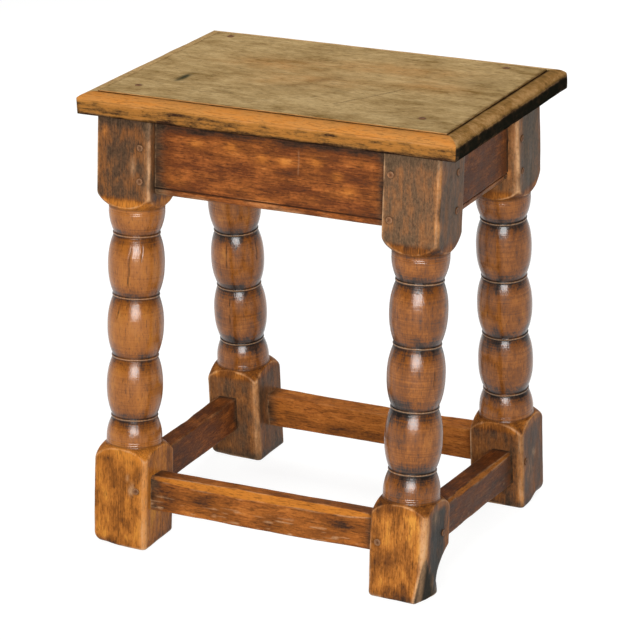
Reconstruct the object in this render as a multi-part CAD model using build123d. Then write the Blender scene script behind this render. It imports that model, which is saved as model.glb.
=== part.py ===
from build123d import *
import os
from math import atan, cos, degrees, radians, sin, sqrt, tan

os.makedirs("parts", exist_ok=True)

# Joint stool of oak, in millimetres. X runs along the front, Y from front to back and
# Z up. It is drawn about the middle of the frame and moved at the end, so that the
# origin is on the floor in the middle of the whole.

# Overall size
height = 504.0
seat_length = 436.0
seat_depth = 312.0
seat_thickness = 24.0

# The seat board isn't quite in the middle of the frame
seat_offset_x = 3.8
seat_offset_y = 2.4

# Seat edge: upright side, thumbnail moulding and a small step up to the field
seat_side = 15.0
seat_arris = 1.5
thumbnail_width = 19.0
thumbnail_rise = 7.5
thumbnail_shoulder_in = 5.2
thumbnail_shoulder_up = 5.4

# Legs: square stock, upright seen from the front and splayed from front to back. The
# overhangs are the seat's beyond the legs' outer faces.
block = 64.0
block_arris = 1.5
foot_arris = 3.5
end_overhang = 20.5
front_overhang = 22.0
splay = 38.0

# Turning: full bobbins between a half bobbin above and one below. A block's length
# includes the arched shoulder that runs from its square faces down to the collar.
upper_block = 107.8
lower_block = 110.6
bobbins = 3
bobbin_radius = 31.0
groove_radius = 25.6
bead_radius = 26.5
bead_half_width = 0.9
groove_half_width = 1.9
collar_radius = 30.6
collar_cove = 2.2
upper_half_bobbin = 29.5
lower_half_bobbin = 29.0
half_bobbin_swell_out = 1.5
half_bobbin_swell_up = 2.0
upper_shoulder = 21.0
lower_shoulder = 18.0
shoulder_radius = 31.4
shoulder_belly = 0.33
shoulder_overrun = 0.8

# Rails and stretchers, all set back from the legs' faces by the same amount
setback = 12.0
rail_height = 85.5
rail_thickness = 22.0
stretcher_bottom = 39.0
stretcher_height = 39.0
stretcher_thickness = 25.0
stretcher_wear = 5.0
stretcher_arris = 1.5

# Run moulding along the rails' lower edge: thumbnail under a fine quirk
rail_thumbnail = 7.0
rail_thumbnail_depth = 5.0
rail_thumbnail_setback = 0.8
rail_thumbnail_swell_in = 1.2
rail_thumbnail_swell_up = 2.45
quirk_width = 2.0
quirk_depth = 2.4
quirk_floor = 0.6

# Mortise and tenon joints: a tenon stops short of the one that crosses its path
cheek = 15.0
tenon_thickness = 10.0
tenon_relief = 2.0
rail_tenon_foot = 2.0
rail_tenon_head = 10.0
stretcher_tenon_shoulder = 4.0
mortise_clearance = 0.1
mortise_end_clearance = 1.0

# Draw pegs, driven from the legs' outer faces, and pegs down through the seat
peg_radius = 4.0
peg_proud = 1.0
peg_tip = 8.0
peg_depth = 43.0
seat_peg_radius = 4.5
seat_peg_in_leg = 22.0
seat_peg_proud = 0.4
head_taper = 0.8
tip_taper = 0.6
hole_clearance = 0.05
hole_end_clearance = 1.0

# What was marked out by hand and differs from leg to leg. Face pegs go in at the
# front or back, end pegs at the left or right.
#   turning: how far the turned length sits above its mean place
#   seat: the seat peg's place outwards from the middle of the leg
#   inset: the pegs' distance from the corner between the two joints
#   rise: how far the stretcher's mortise sits above its mean height
#   rail: the upper peg's depth under the seat and the lower peg's height over the foot
#   stretcher: the peg's height above the stretcher's middle
marks = {
    "front_left": {
        "turning": 1.5,
        "seat": (0.2, -1.7),
        "face": {"inset": 12.0, "rise": 4.0, "rail": (33.4, 16.1), "stretcher": 4.5},
        "end": {"inset": 13.0, "rise": -0.5, "rail": (32.0, 13.0), "stretcher": 1.0},
    },
    "front_right": {
        "turning": -4.2,
        "seat": (-7.4, -8.4),
        "face": {"inset": 9.0, "rise": 6.5, "rail": (26.2, 12.5), "stretcher": -3.2},
        "end": {"inset": 17.5, "rise": 5.0, "rail": (29.3, 16.0), "stretcher": 0.5},
    },
    "back_right": {
        "turning": -3.2,
        "seat": (-4.4, 22.8),
        "face": {"inset": 12.0, "rise": 2.0, "rail": (30.0, 13.0), "stretcher": 0.0},
        "end": {"inset": 11.0, "rise": -8.0, "rail": (39.8, 8.8), "stretcher": 5.5},
    },
    "back_left": {
        "turning": 6.0,
        "seat": (7.0, 24.0),
        "face": {"inset": 12.5, "rise": 0.5, "rail": (31.0, 15.0), "stretcher": 3.0},
        "end": {"inset": 12.0, "rise": -0.5, "rail": (34.0, 12.0), "stretcher": -2.0},
    },
}

# Worn foot at the front right: its outer arris is pared away towards the floor, and
# the inner corner of its outer face is scooped out
worn_leg = "front_right"
paring_height = 65.0
paring_depth = 12.0
paring_depth_behind = 3.5
paring_run = 22.0
scoop_angle = 25.6
scoop_depth = 13.0
scoop_radius = 46.0
scoop_height = 12.0
worn_peg_proud = 0.8

# Worked out from the sizes above
half = block / 2
seat_underside = height - seat_thickness
leg_x = seat_length / 2 - end_overhang - half
leg_y_seat = seat_depth / 2 - front_overhang - half
leg_y_floor = leg_y_seat + splay
lean = atan(splay / seat_underside)
rail_bottom = seat_underside - rail_height
tenon_length = block - cheek - tenon_thickness - tenon_relief
joints = {
    "rail": {
        "foot": rail_bottom,
        "height": rail_height,
        "tenon": (rail_tenon_foot, rail_height - rail_tenon_head),
    },
    "stretcher": {
        "foot": stretcher_bottom,
        "height": stretcher_height,
        "tenon": (stretcher_tenon_shoulder, stretcher_height - stretcher_tenon_shoulder),
    },
}
far = 2 * height
on_base = (Align.CENTER, Align.CENTER, Align.MIN)


def side_of(name):
    """1 for a leg or member on the right, -1 for one on the left."""
    return 1 if "right" in name else -1


def at_front(shape):
    """Set a shape drawn about an upright leg line into the leaning front frame."""
    return Pos(0, -leg_y_floor, 0) * Rot(X=-degrees(lean)) * shape


def at_frame(name, shape):
    """Set such a shape into the front or the back frame, wherever the piece is."""
    shape = at_front(shape)
    return mirror(shape, about=Plane.XZ) if "back" in name else shape


def along(z, y=0.0):
    """Distance up the leaning frame of a point at height z and frame depth y."""
    return (z + y * sin(lean)) / cos(lean)


def span(x0, x1, y0, y1, z0, z1):
    """Box between two corners."""
    return Pos(x0, y0, z0) * Box(x1 - x0, y1 - y0, z1 - z0, align=Align.MIN)


def in_front_of(depth):
    """All that lies nearer the front than a depth behind the front legs' faces."""
    return at_front(span(-far, far, -far, depth - half, -far, far))


def turned_outline(shift):
    """Half outline of the turned stock, from the axis out and back to it."""
    corner_radius = half * sqrt(2) + shoulder_overrun
    upper_collar = along(seat_underside + shift) - upper_block
    lower_collar = along(shift) + lower_block
    top_ring = upper_collar - upper_half_bobbin
    ring_pitch = (top_ring - lower_collar - lower_half_bobbin) / bobbins
    rings = [top_ring - n * ring_pitch for n in range(bobbins + 1)]
    upper_start = upper_collar + collar_cove
    lower_start = lower_collar - collar_cove
    upper_square = upper_collar + upper_shoulder
    lower_square = lower_collar - lower_shoulder
    belly = (corner_radius + shoulder_radius) / 2
    swell = (collar_radius + groove_radius) / 2 + half_bobbin_swell_out
    low_bead = rings[-1] - groove_half_width
    high_bead = rings[0] + groove_half_width

    edges = [
        Polyline((0, -far), (corner_radius, -far), (corner_radius, lower_square)),
        ThreePointArc(
            (corner_radius, lower_square),
            (belly, lower_start - (lower_start - lower_square) * shoulder_belly),
            (shoulder_radius, lower_start),
        ),
        Line((shoulder_radius, lower_start), (collar_radius, lower_collar)),
        ThreePointArc(
            (collar_radius, lower_collar),
            (swell, (lower_collar + low_bead) / 2 + half_bobbin_swell_up),
            (groove_radius, low_bead),
        ),
        ThreePointArc(
            (groove_radius, high_bead),
            (swell, (upper_collar + high_bead) / 2 - half_bobbin_swell_up),
            (collar_radius, upper_collar),
        ),
        Line((collar_radius, upper_collar), (shoulder_radius, upper_start)),
        ThreePointArc(
            (shoulder_radius, upper_start),
            (belly, upper_start + (upper_square - upper_start) * shoulder_belly),
            (corner_radius, upper_square),
        ),
        Polyline((corner_radius, upper_square), (corner_radius, far), (0, far), (0, -far)),
    ]
    for ring in rings:
        edges += [
            Polyline(
                (groove_radius, ring - groove_half_width),
                (bead_radius, ring - bead_half_width),
                (bead_radius, ring + bead_half_width),
                (groove_radius, ring + groove_half_width),
            )
        ]
    for ring in rings[1:]:
        edges += [
            ThreePointArc(
                (groove_radius, ring + groove_half_width),
                (bobbin_radius, ring + ring_pitch / 2),
                (groove_radius, ring + ring_pitch - groove_half_width),
            )
        ]
    return make_face(edges)


def peg(radius, proud, depth):
    """Wooden peg along +Z, its head standing proud of z = 0 and its end tapered."""
    head = Pos(0, 0, -proud) * Cone(radius * head_taper, radius, proud, align=on_base)
    shank = Cylinder(radius, depth - peg_tip, align=on_base)
    tip = Cone(radius, radius * tip_taper, peg_tip, align=on_base)
    return head + shank + Pos(0, 0, depth - peg_tip) * tip


def peg_hole(radius, proud, depth):
    """Hole for a peg of the same sizes."""
    length = depth + 2 * proud + hole_end_clearance
    return Pos(0, 0, -2 * proud) * Cylinder(radius + hole_clearance, length, align=on_base)


def foot_at(leg_name, way, joint):
    """Height of a member's foot where it meets a leg."""
    rise = marks[leg_name][way]["rise"] if joint == "stretcher" else 0
    return joints[joint]["foot"] + rise


def draw_pegs(make, leg_name, way, joint):
    """Pegs, or their holes, through a leg's face or end in one joint."""
    side = side_of(leg_name)
    inset = marks[leg_name][way]["inset"]
    mark = marks[leg_name][way][joint]
    if joint == "rail":
        heights = [seat_underside - mark[0], rail_bottom + mark[1]]
    else:
        heights = [foot_at(leg_name, way, joint) + stretcher_height / 2 + mark]
    if way == "face":
        x, y, turn = side * (leg_x - half + inset), -half, Rot(X=-90)
    else:
        x, y, turn = side * (leg_x + half), half - inset, Rot(Y=-90 * side)
    shape = turn * make(peg_radius, peg_proud, peg_depth)
    return [at_frame(leg_name, Pos(x, y, along(z, y)) * shape) for z in heights]


def seat_peg(make, leg_name):
    """Peg, or its hole, down through the seat into a leg."""
    outwards_x, outwards_y = marks[leg_name]["seat"]
    x = side_of(leg_name) * (leg_x + outwards_x)
    y = (1 if "back" in leg_name else -1) * (leg_y_seat + outwards_y)
    shape = make(seat_peg_radius, seat_peg_proud, seat_thickness + seat_peg_in_leg)
    return Pos(x, y, height) * Rot(X=180) * shape


def rail_section():
    """Rail seen from its end: x is depth behind its face, y height above its foot."""
    lip = rail_thumbnail + quirk_width
    top = rail_height + rail_thickness
    edges = [
        Line((rail_thickness, 0), (rail_thumbnail_depth, 0)),
        ThreePointArc(
            (rail_thumbnail_depth, 0),
            (rail_thumbnail_setback + rail_thumbnail_swell_in, rail_thumbnail_swell_up),
            (rail_thumbnail_setback, rail_thumbnail),
        ),
        Polyline(
            (rail_thumbnail_setback, rail_thumbnail),
            (quirk_depth, rail_thumbnail + quirk_floor),
            (0, lip),
            (0, top),
            (rail_thickness, top),
            (rail_thickness, 0),
        ),
    ]
    return make_face(edges)


def stretcher_section():
    """Stretcher seen from its end, its upper outer arris worn round."""
    upper_outer = (0, stretcher_height)
    bar = Rectangle(stretcher_thickness, stretcher_height, align=Align.MIN)
    bar = fillet(bar.vertices().sort_by_distance(upper_outer)[1:], stretcher_arris)
    return fillet(bar.vertices().sort_by_distance(upper_outer)[0], stretcher_wear)


section_of = {"rail": rail_section(), "stretcher": stretcher_section()}


def ends_of(label):
    """The two legs that a member joins, in the order that its length runs."""
    pair = [leg_name for leg_name in marks if label in leg_name]
    return sorted(pair, key=side_of if label in ("front", "back") else lambda n: "back" in n)


def face_bar(label, joint, section, low_x, high_x):
    """A bar of a section, (depth, height) from the member's face and foot, along X in
    the front or back frame, tilted from one leg's mortise to the other's."""
    low, high = [foot_at(leg_name, "face", joint) for leg_name in ends_of(label)]
    tilt = degrees(atan((high - low) / (2 * leg_x)))
    y = -half + setback
    face = Plane(origin=(0, 0, 0), x_dir=(0, 1, 0), z_dir=(1, 0, 0))
    bar = Rot(Y=-tilt) * extrude(face * section, far, both=True)
    bar = Pos(0, y, along((low + high) / 2, y)) * bar
    return at_frame(label, bar & span(low_x, high_x, -far, far, -far, far))


def end_bar(label, joint, section, depth):
    """Such a bar along Y between a front and a back leg, ending at a depth behind the
    legs' outer faces, square to each leg."""
    low, high = [foot_at(leg_name, "end", joint) for leg_name in ends_of(label)]
    tilt = degrees(atan((high - low) / (2 * leg_y_floor)))
    face = Plane(origin=(0, 0, 0), x_dir=(-1, 0, 0), z_dir=(0, 1, 0))
    bar = Rot(X=tilt) * extrude(face * section, far, both=True)
    bar = Pos(leg_x + half - setback, 0, (low + high) / 2) * bar
    bar = bar - in_front_of(depth) - mirror(in_front_of(depth), about=Plane.XZ)
    return bar if side_of(label) > 0 else mirror(bar, about=Plane.YZ)


def tenon_section(joint, gap):
    """Section of a member's tenons, or with a gap of their mortises."""
    low, high = joints[joint]["tenon"]
    near = cheek - setback
    tenon = Rectangle(tenon_thickness + 2 * gap, high - low + 2 * gap, align=Align.MIN)
    return Pos(near - gap, low - gap) * tenon


def tenons(label, joint, gap=0.0, end_gap=0.0):
    """Both tenons of a member as one bar, or with gaps the bar that cuts its mortises."""
    section = tenon_section(joint, gap)
    if label in ("front", "back"):
        reach = leg_x - half + tenon_length + end_gap
        return face_bar(label, joint, section, -reach, reach)
    return end_bar(label, joint, section, block - tenon_length - end_gap)


def member(label, joint):
    """Rail or stretcher with its tenons, level under the seat and bored for its pegs."""
    section = section_of[joint]
    if label in ("front", "back"):
        bar = face_bar(label, joint, section, half - leg_x, leg_x - half)
    else:
        bar = end_bar(label, joint, section, block)
    bar = (bar + tenons(label, joint)) & span(-far, far, -far, far, 0, seat_underside)
    way = "face" if label in ("front", "back") else "end"
    for leg_name in ends_of(label):
        for hole in draw_pegs(peg_hole, leg_name, way, joint) + [seat_peg(peg_hole, leg_name)]:
            bar -= hole
    return bar


def leg(leg_name):
    """One leg: square blocks with rubbed arrises, turned between them, and mortised."""
    place = Pos(side_of(leg_name) * leg_x, 0, 0)
    width = sqrt(2) * (block - block_arris)
    stock = at_front(place * Box(block, block, 2 * far))
    arrises = at_front(place * Rot(Z=45) * Box(width, width, 2 * far))
    outline = turned_outline(marks[leg_name]["turning"])
    turned = at_front(place * revolve(Plane.XZ * outline, Axis.Z))
    solid = stock & span(-far, far, -far, far, 0, seat_underside)
    solid = chamfer(solid.edges().group_by(Axis.Z)[0], foot_arris)
    solid = solid & arrises & turned
    if "back" in leg_name:
        solid = mirror(solid, about=Plane.XZ)
    for joint in joints:
        for label in leg_name.split("_"):
            solid -= tenons(label, joint, mortise_clearance, mortise_end_clearance)
        for way in ("face", "end"):
            for hole in draw_pegs(peg_hole, leg_name, way, joint):
                solid -= hole
    solid -= seat_peg(peg_hole, leg_name)
    return worn_foot(solid) if leg_name == worn_leg else solid


def worn_foot(solid, proud=0.0):
    """Pare and scoop the front right foot, or leave a peg in it a little proud."""
    outer = leg_x + half + proud
    front = -leg_y_floor - half
    a = Vector(outer - paring_depth, front, 0)
    b = Vector(outer - paring_depth_behind, front + paring_run, 0)
    c = Vector(outer, front + paring_height * tan(lean), paring_height)
    paring = Plane(origin=a, x_dir=b - a, z_dir=(b - a).cross(c - a))
    solid -= paring * Box(far, far, far, align=on_base)

    outward = Vector(cos(radians(scoop_angle)), sin(radians(scoop_angle)), 0)
    axis = Vector(-outward.Y, outward.X, 0)
    corner = Vector(leg_x + half, -leg_y_floor + half, scoop_height)
    middle = corner + outward * (scoop_radius + proud - scoop_depth)
    return solid - Plane(origin=middle, z_dir=axis) * Cylinder(scoop_radius, 3 * block)


def seat_board():
    """Plank with the thumbnail moulding run round all four edges, bored for its pegs."""

    def section(width):
        w = width / 2
        step = (w - thumbnail_width, seat_side + thumbnail_rise)
        shoulder = (w - thumbnail_shoulder_in, seat_side + thumbnail_shoulder_up)
        right = [
            Polyline((0, 0), (w - seat_arris, 0), (w, seat_arris), (w, seat_side)),
            ThreePointArc((w, seat_side), shoulder, step),
            Polyline(step, (w - thumbnail_width, seat_thickness), (0, seat_thickness)),
        ]
        return make_face(right + [mirror(edge, about=Plane.YZ) for edge in right])

    lengthwise = extrude(Plane.YZ * section(seat_depth), seat_length, both=True)
    crosswise = extrude(Plane.XZ * section(seat_length), seat_depth, both=True)
    board = Pos(seat_offset_x, seat_offset_y, seat_underside) * (lengthwise & crosswise)
    for leg_name in marks:
        board -= seat_peg(peg_hole, leg_name)
    return board


pieces = {"seat_board": seat_board()}
for leg_name in marks:
    pieces["leg_" + leg_name] = leg(leg_name)
for joint in joints:
    for label in ("front", "back", "left", "right"):
        pieces[joint + "_" + label] = member(label, joint)
    driven = []
    for leg_name in marks:
        for way in ("face", "end"):
            pegs = draw_pegs(peg, leg_name, way, joint)
            if leg_name == worn_leg:
                pegs = [worn_foot(p, worn_peg_proud) for p in pegs]
            driven += pegs
    pieces[joint + "_pegs"] = Compound(driven)
pieces["seat_pegs"] = Compound([seat_peg(peg, leg_name) for leg_name in marks])

for node, shape in pieces.items():
    shape = Pos(-seat_offset_x, 0, 0) * shape
    shape.label = node
    export_step(shape, f"parts/{node}.step")
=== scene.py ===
"""The oak joint stool as it looks: worn, waxed and four centuries old.

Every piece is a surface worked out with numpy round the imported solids, and carries its place
in its own timber, so that grain, growth rings and pores run through it as through real oak.
"""

import math

import bpy
import numpy as np
from mathutils import Matrix, Vector


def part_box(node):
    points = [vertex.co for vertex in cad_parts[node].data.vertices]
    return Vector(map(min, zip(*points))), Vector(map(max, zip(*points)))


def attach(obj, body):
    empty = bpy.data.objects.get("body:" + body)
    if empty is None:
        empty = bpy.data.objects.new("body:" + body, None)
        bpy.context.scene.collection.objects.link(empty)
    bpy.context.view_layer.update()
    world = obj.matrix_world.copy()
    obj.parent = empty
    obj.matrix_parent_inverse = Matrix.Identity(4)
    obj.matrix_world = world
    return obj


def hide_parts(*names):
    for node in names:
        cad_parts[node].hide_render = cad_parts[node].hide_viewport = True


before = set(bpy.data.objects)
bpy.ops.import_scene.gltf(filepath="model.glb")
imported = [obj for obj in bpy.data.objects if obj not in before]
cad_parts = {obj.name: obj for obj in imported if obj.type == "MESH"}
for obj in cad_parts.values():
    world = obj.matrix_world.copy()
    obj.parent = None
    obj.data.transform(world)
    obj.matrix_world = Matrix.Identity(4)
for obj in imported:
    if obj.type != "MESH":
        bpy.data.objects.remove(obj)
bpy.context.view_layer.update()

bl_info = {
    "name": "Oak Joint Stool",
    "version": (1, 0, 0),
    "blender": (4, 5, 0),
    "location": "3D View > Sidebar > Joint Stool",
    "description": "Builds an old oak joint stool with bobbin-turned legs and a worn waxed finish",
    "category": "Object",
}

MM = 0.001
BODY = "root"
LEGS = ("front_left", "front_right", "back_right", "back_left")
SIDES = ("front", "back", "left", "right")

SEAT_LOW, SEAT_HIGH = (np.array(corner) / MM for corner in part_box("seat_board"))
LEG_LOW, LEG_HIGH = (np.array(corner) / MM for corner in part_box("leg_back_right"))
LEFT_LOW, LEFT_HIGH = (np.array(corner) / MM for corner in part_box("leg_back_left"))


# --------------------------------------------------------------------------------------
# Sizes and colours that a user would change
# --------------------------------------------------------------------------------------


def linear(colour):
    """The linear colour, with full alpha, of an sRGB hex value such as "a0703c"."""
    srgb = np.array([int(colour[i : i + 2], 16) for i in (0, 2, 4)]) / 255
    low, high = srgb / 12.92, ((srgb + 0.055) / 1.055) ** 2.4
    return (*np.where(srgb <= 0.04045, low, high), 1.0)


def colour_property(name, description, colour):
    """A colour that a user can change, given as an sRGB hex value."""
    return bpy.props.FloatVectorProperty(
        name=name, description=description, default=linear(colour), size=4,
        subtype="COLOR", min=0.0, max=1.0,
    )  # fmt: skip


def length_property(name, description, millimetres):
    """A length that a user can change, given in millimetres."""
    return bpy.props.FloatProperty(
        name=name, description=description, default=millimetres * MM, unit="LENGTH",
        subtype="DISTANCE", min=0.0, precision=4,
    )  # fmt: skip


class StoolSizes(bpy.types.PropertyGroup):
    """Sizes of the turned and moulded work."""

    stock: length_property("Stock", "Side of the square legs", LEG_HIGH[0] - LEG_LOW[0])
    splay: length_property("Splay", "How far each foot stands out from under the seat", 38)
    foot_spread: length_property("Foot spread", "From the middle to a foot's middle, front to back", 140)
    upper_block: length_property("Upper block", "Length of a leg's upper block with its shoulder", 107.8)
    lower_block: length_property("Lower block", "Length of a leg's lower block with its shoulder", 110.6)
    bobbin: length_property("Bobbin radius", "Largest radius of a full bobbin", 31)
    groove: length_property("Groove radius", "Radius of the turning beside the small beads", 25.2)
    bead: length_property("Bead radius", "Radius of the small bead between two bobbins", 26.1)
    collar: length_property("Collar radius", "Radius of a half bobbin where it meets its block", 30.6)
    setback: length_property("Setback", "Rails and stretchers behind the legs' faces", 12)
    rail_height: length_property("Rail height", "Depth of the rails under the seat", 85.5)
    rail_thickness: length_property("Rail thickness", "Thickness of the rails", 22)
    stretcher_height: length_property("Stretcher height", "Height of the stretchers", 39)
    stretcher_thickness: length_property("Stretcher thickness", "Thickness of the stretchers", 25)
    stretcher_foot: length_property("Stretcher foot", "Mean height of the stretchers' undersides", 39)
    peg: length_property("Peg radius", "Radius of the draw pegs", 4)


class StoolColours(bpy.types.PropertyGroup):
    """Colours of the waxed oak, the dirt on it and the studio floor."""

    leg_light: colour_property("Leg, light", "Clean polished wood of the legs", "d2923e")
    leg_middle: colour_property("Leg, middle", "Most of the legs", "aa682c")
    leg_dark: colour_property("Leg, dark", "Darker grain of the legs", "6e3f1a")
    rail_light: colour_property("Rail, light", "Clean polished wood of the rails", "c47e42")
    rail_middle: colour_property("Rail, middle", "Most of the rails and stretchers", "985528")
    rail_dark: colour_property("Rail, dark", "Darker grain of the rails", "633419")
    seat_light: colour_property("Seat, light", "Faded wood of the seat", "cdb584")
    seat_middle: colour_property("Seat, middle", "Most of the seat", "af9769")
    seat_dark: colour_property("Seat, dark", "Darker grain of the seat", "7f683f")
    amber: colour_property("Amber", "Clear old varnish over clean wood", "c67a2c")
    varnish: colour_property("Varnish", "Deep brown varnish left on the turnings", "7c4200")
    crust: colour_property("Crust", "Dark patina of handling and smoke", "412a1c")
    dirt: colour_property("Dirt", "Old wax and dirt in the corners", "17110d")
    rubbed: colour_property("Rubbed", "Bare, rubbed arrises", "cfa47a")
    stain: colour_property("Stain", "Greenish black burns and stains", "343a2e")
    floor: colour_property("Floor", "Studio floor", "828280")


# --------------------------------------------------------------------------------------
# Numbers
# --------------------------------------------------------------------------------------


def scatter(cells, seed):
    """A repeatable random number from 0 to 1 for each whole-number cell of a lattice."""
    n = cells.astype(np.int64)
    n = n[..., 0] * 73856093 + n[..., 1] * 19349663 + n[..., 2] * 83492791 + seed * 2654435
    n = (n ^ (n >> 13)) * 1274126177 & 0x7FFFFFFF
    n = (n ^ (n >> 15)) * 668265263 & 0x7FFFFFFF
    return (n >> 8 & 0xFFFF) / 0xFFFF


def noise(points, size, seed=0):
    """A smooth random field from -1 to 1: a random number at each corner of cubes of that
    size, blended inside each cube by a smooth step along each axis."""
    q = points / np.asarray(size, float)
    base = np.floor(q)
    t = q - base
    t = t * t * (3 - 2 * t)
    total = 0.0
    for corner in np.ndindex(2, 2, 2):
        weight = np.prod(np.where(np.array(corner), t, 1 - t), axis=-1)
        total = total + weight * scatter(base + corner, seed)
    return 2 * total - 1


def step(a, b, x):
    """Smooth step from 0 at a to 1 at b."""
    t = np.clip((x - a) / (b - a), 0, 1)
    return t * t * (3 - 2 * t)


def bump(x, centre, width):
    """Bell curve of height 1, where width is the distance at which it has fallen to 0.37."""
    return np.exp(-(((x - centre) / width) ** 2))


def lower_of(a, b, blend):
    """The lower of two surfaces, with their meeting rounded over about that blend."""
    h = np.clip(0.5 + 0.5 * (b - a) / blend, 0, 1)
    return b * (1 - h) + a * h - blend * h * (1 - h)


def arc(x, start, middle, end):
    """Height at x of the circular arc through three points, on the side of the middle one."""
    (x0, y0), (x1, y1), (x2, y2) = start, middle, end
    d = 2 * (x0 * (y1 - y2) + x1 * (y2 - y0) + x2 * (y0 - y1))
    s0, s1, s2 = x0**2 + y0**2, x1**2 + y1**2, x2**2 + y2**2
    cx = (s0 * (y1 - y2) + s1 * (y2 - y0) + s2 * (y0 - y1)) / d
    cy = (s0 * (x2 - x1) + s1 * (x0 - x2) + s2 * (x1 - x0)) / d
    reach = np.sqrt(np.maximum((x0 - cx) ** 2 + (y0 - cy) ** 2 - (x - cx) ** 2, 0))
    return cy + math.copysign(1, y1 - cy) * reach


def stations(*stops):
    """Values from the first stop to the last, each stop giving a place and the spacing up to
    the next place."""
    runs = []
    for (a, spacing), (b, _) in zip(stops, stops[1:]):
        count = max(int(math.ceil((b - a) / spacing)), 1)
        runs.append(np.linspace(a, b, count, endpoint=False))
    return np.concatenate(runs + [[stops[-1][0]]])


def line_mark(u, v, start, end, width):
    """A thin mark from one point to another: 1 on the line, falling to 0.37 at that width to
    either side, and ending softly."""
    (u0, v0), (u1, v1) = start, end
    length = math.hypot(u1 - u0, v1 - v0)
    du, dv = (u1 - u0) / length, (v1 - v0) / length
    along = (u - u0) * du + (v - v0) * dv
    across = (u - u0) * dv - (v - v0) * du
    across = across + 0.4 * np.sin(along * 0.3) + 0.1 * np.sin(along * 0.9 + 1)
    return np.exp(-((across / width) ** 2)) * step(-2, 3, along) * step(length + 2, length - 5, along)


# --------------------------------------------------------------------------------------
# Meshes
# --------------------------------------------------------------------------------------

# What each point tells the finish, mostly from 0 to 1: how light the wood is, with painted shade and
# painted light in places; how much amber varnish is on it; bare rubbed wood, with painted highlights
# on beads, arches and lips; black wax and dirt, with painted shade in grooves and corners; greenish
# stain and, on right-hand faces, a greenish painted reflection; and whether it was turned
VALUES = ("tone", "amber", "wear_and_highlight", "grime", "stain", "turned")


class Patch:
    """A grid of points, rows by columns, with values at each point that the finish reads."""

    def __init__(self, points, timber, wrap=False, flip=False, **values):
        self.points, self.timber, self.wrap, self.flip = points, timber, wrap, flip
        self.values = values

    def faces(self):
        """Quads between neighbouring rows and columns, numbered from 0."""
        rows, columns = self.points.shape[:2]
        i = np.arange(rows - 1)[:, None] * columns
        j = np.arange(columns if self.wrap else columns - 1)[None, :]
        k = (j + 1) % columns
        quads = np.stack([i + j, i + k, i + columns + k, i + columns + j], axis=-1).reshape(-1, 4)
        return quads[:, ::-1] if self.flip else quads


def relief(points, wrap, reach, outward=1):
    """How far each point of a grid stands out of the surface averaged over a few points each
    way: above 0 on an arris, below 0 in a groove. In millimetres."""
    smooth = points.copy()
    for _ in range(reach):
        for axis, around in ((0, False), (1, wrap)):
            before, after = np.roll(smooth, 1, axis), np.roll(smooth, -1, axis)
            if not around:
                ends = [slice(None)] * 3
                ends[axis] = [0, -1]
                before[tuple(ends)] = smooth[tuple(ends)]
                after[tuple(ends)] = smooth[tuple(ends)]
            smooth = (before + 2 * smooth + after) / 4
    if wrap:
        across = np.roll(points, -1, 1) - np.roll(points, 1, 1)
    else:
        across = np.gradient(points, axis=1)
    normal = np.cross(across, np.gradient(points, axis=0))
    normal /= np.maximum(np.linalg.norm(normal, axis=-1, keepdims=True), 1e-9)
    return outward * np.sum((points - smooth) * normal, axis=-1)


def caps_of(points, timber, flip, shares, **values):
    """The two ends of a tube, each as its rim shrunk in rings onto its middle."""
    caps = []
    for row, outward in ((0, False), (-1, True)):
        rim, grain = points[row], timber[row]
        middle, heart = rim.mean(axis=0), grain.mean(axis=0)
        share = np.array(shares)[:, None, None]
        place, wood = middle + (rim - middle) * share, heart + (grain - heart) * share
        caps.append(Patch(place, wood, True, flip == outward, **values))
    return caps


def make_piece(nodes, slot, patches):
    """One object of all these patches, welded where their points meet, that stands for its CAD
    nodes and has its slot's finish. A quad whose side has no length becomes a triangle."""
    name = nodes[0] + "_worn"
    points = np.concatenate([p.points.reshape(-1, 3) for p in patches]) * MM
    timber = np.concatenate([p.timber.reshape(-1, 3) for p in patches]) * MM
    starts = np.cumsum([0] + [p.points.shape[0] * p.points.shape[1] for p in patches[:-1]])
    quads = np.concatenate([p.faces() + start for p, start in zip(patches, starts)])

    keys = np.round(points * 1e6).astype(np.int64)
    _, first, where = np.unique(keys, axis=0, return_index=True, return_inverse=True)
    quads = where.reshape(-1)[quads]
    shut = quads == np.roll(quads, -1, axis=1)
    whole = quads[~shut.any(axis=1)]
    pointed = quads[shut.sum(axis=1) == 1]
    turn = np.argmax(pointed == np.roll(pointed, -1, axis=1), axis=1)
    order = (turn[:, None] + np.arange(1, 4)) % 4
    triangles = np.take_along_axis(pointed, order, axis=1)

    mesh = bpy.data.meshes.new(name)
    mesh.from_pydata(points[first], [], whole.tolist() + triangles.tolist())
    attribute = mesh.attributes.new("timber", "FLOAT_VECTOR", "POINT")
    attribute.data.foreach_set("vector", timber[first].astype(np.float32).ravel())
    for value in VALUES:
        parts = [np.broadcast_to(p.values.get(value, 0.0), p.points.shape[:2]) for p in patches]
        flat = np.concatenate([part.ravel() for part in parts])[first]
        mesh.attributes.new(value, "FLOAT", "POINT").data.foreach_set("value", flat.astype(np.float32))
    mesh.polygons.foreach_set("use_smooth", np.ones(len(mesh.polygons), bool))
    mesh.materials.append(finish_for(slot))
    mesh.validate()
    mesh.update()

    piece = bpy.data.objects.new(name, mesh)
    bpy.context.scene.collection.objects.link(piece)
    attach(piece, BODY)
    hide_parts(*nodes)
    return piece


# --------------------------------------------------------------------------------------
# The frame that the pieces stand in. All in millimetres.
# --------------------------------------------------------------------------------------

SEAT_TOP = SEAT_HIGH[2]
SEAT_UNDERSIDE = SEAT_LOW[2]
FRAME_MIDDLE = (LEG_LOW[0] + LEG_HIGH[0] + LEFT_LOW[0] + LEFT_HIGH[0]) / 4

# How far each leg's turned length sits above its mean place
TURNING_RISE = {"front_left": 1.5, "front_right": -4.2, "back_right": -3.2, "back_left": 6.0}

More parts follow.
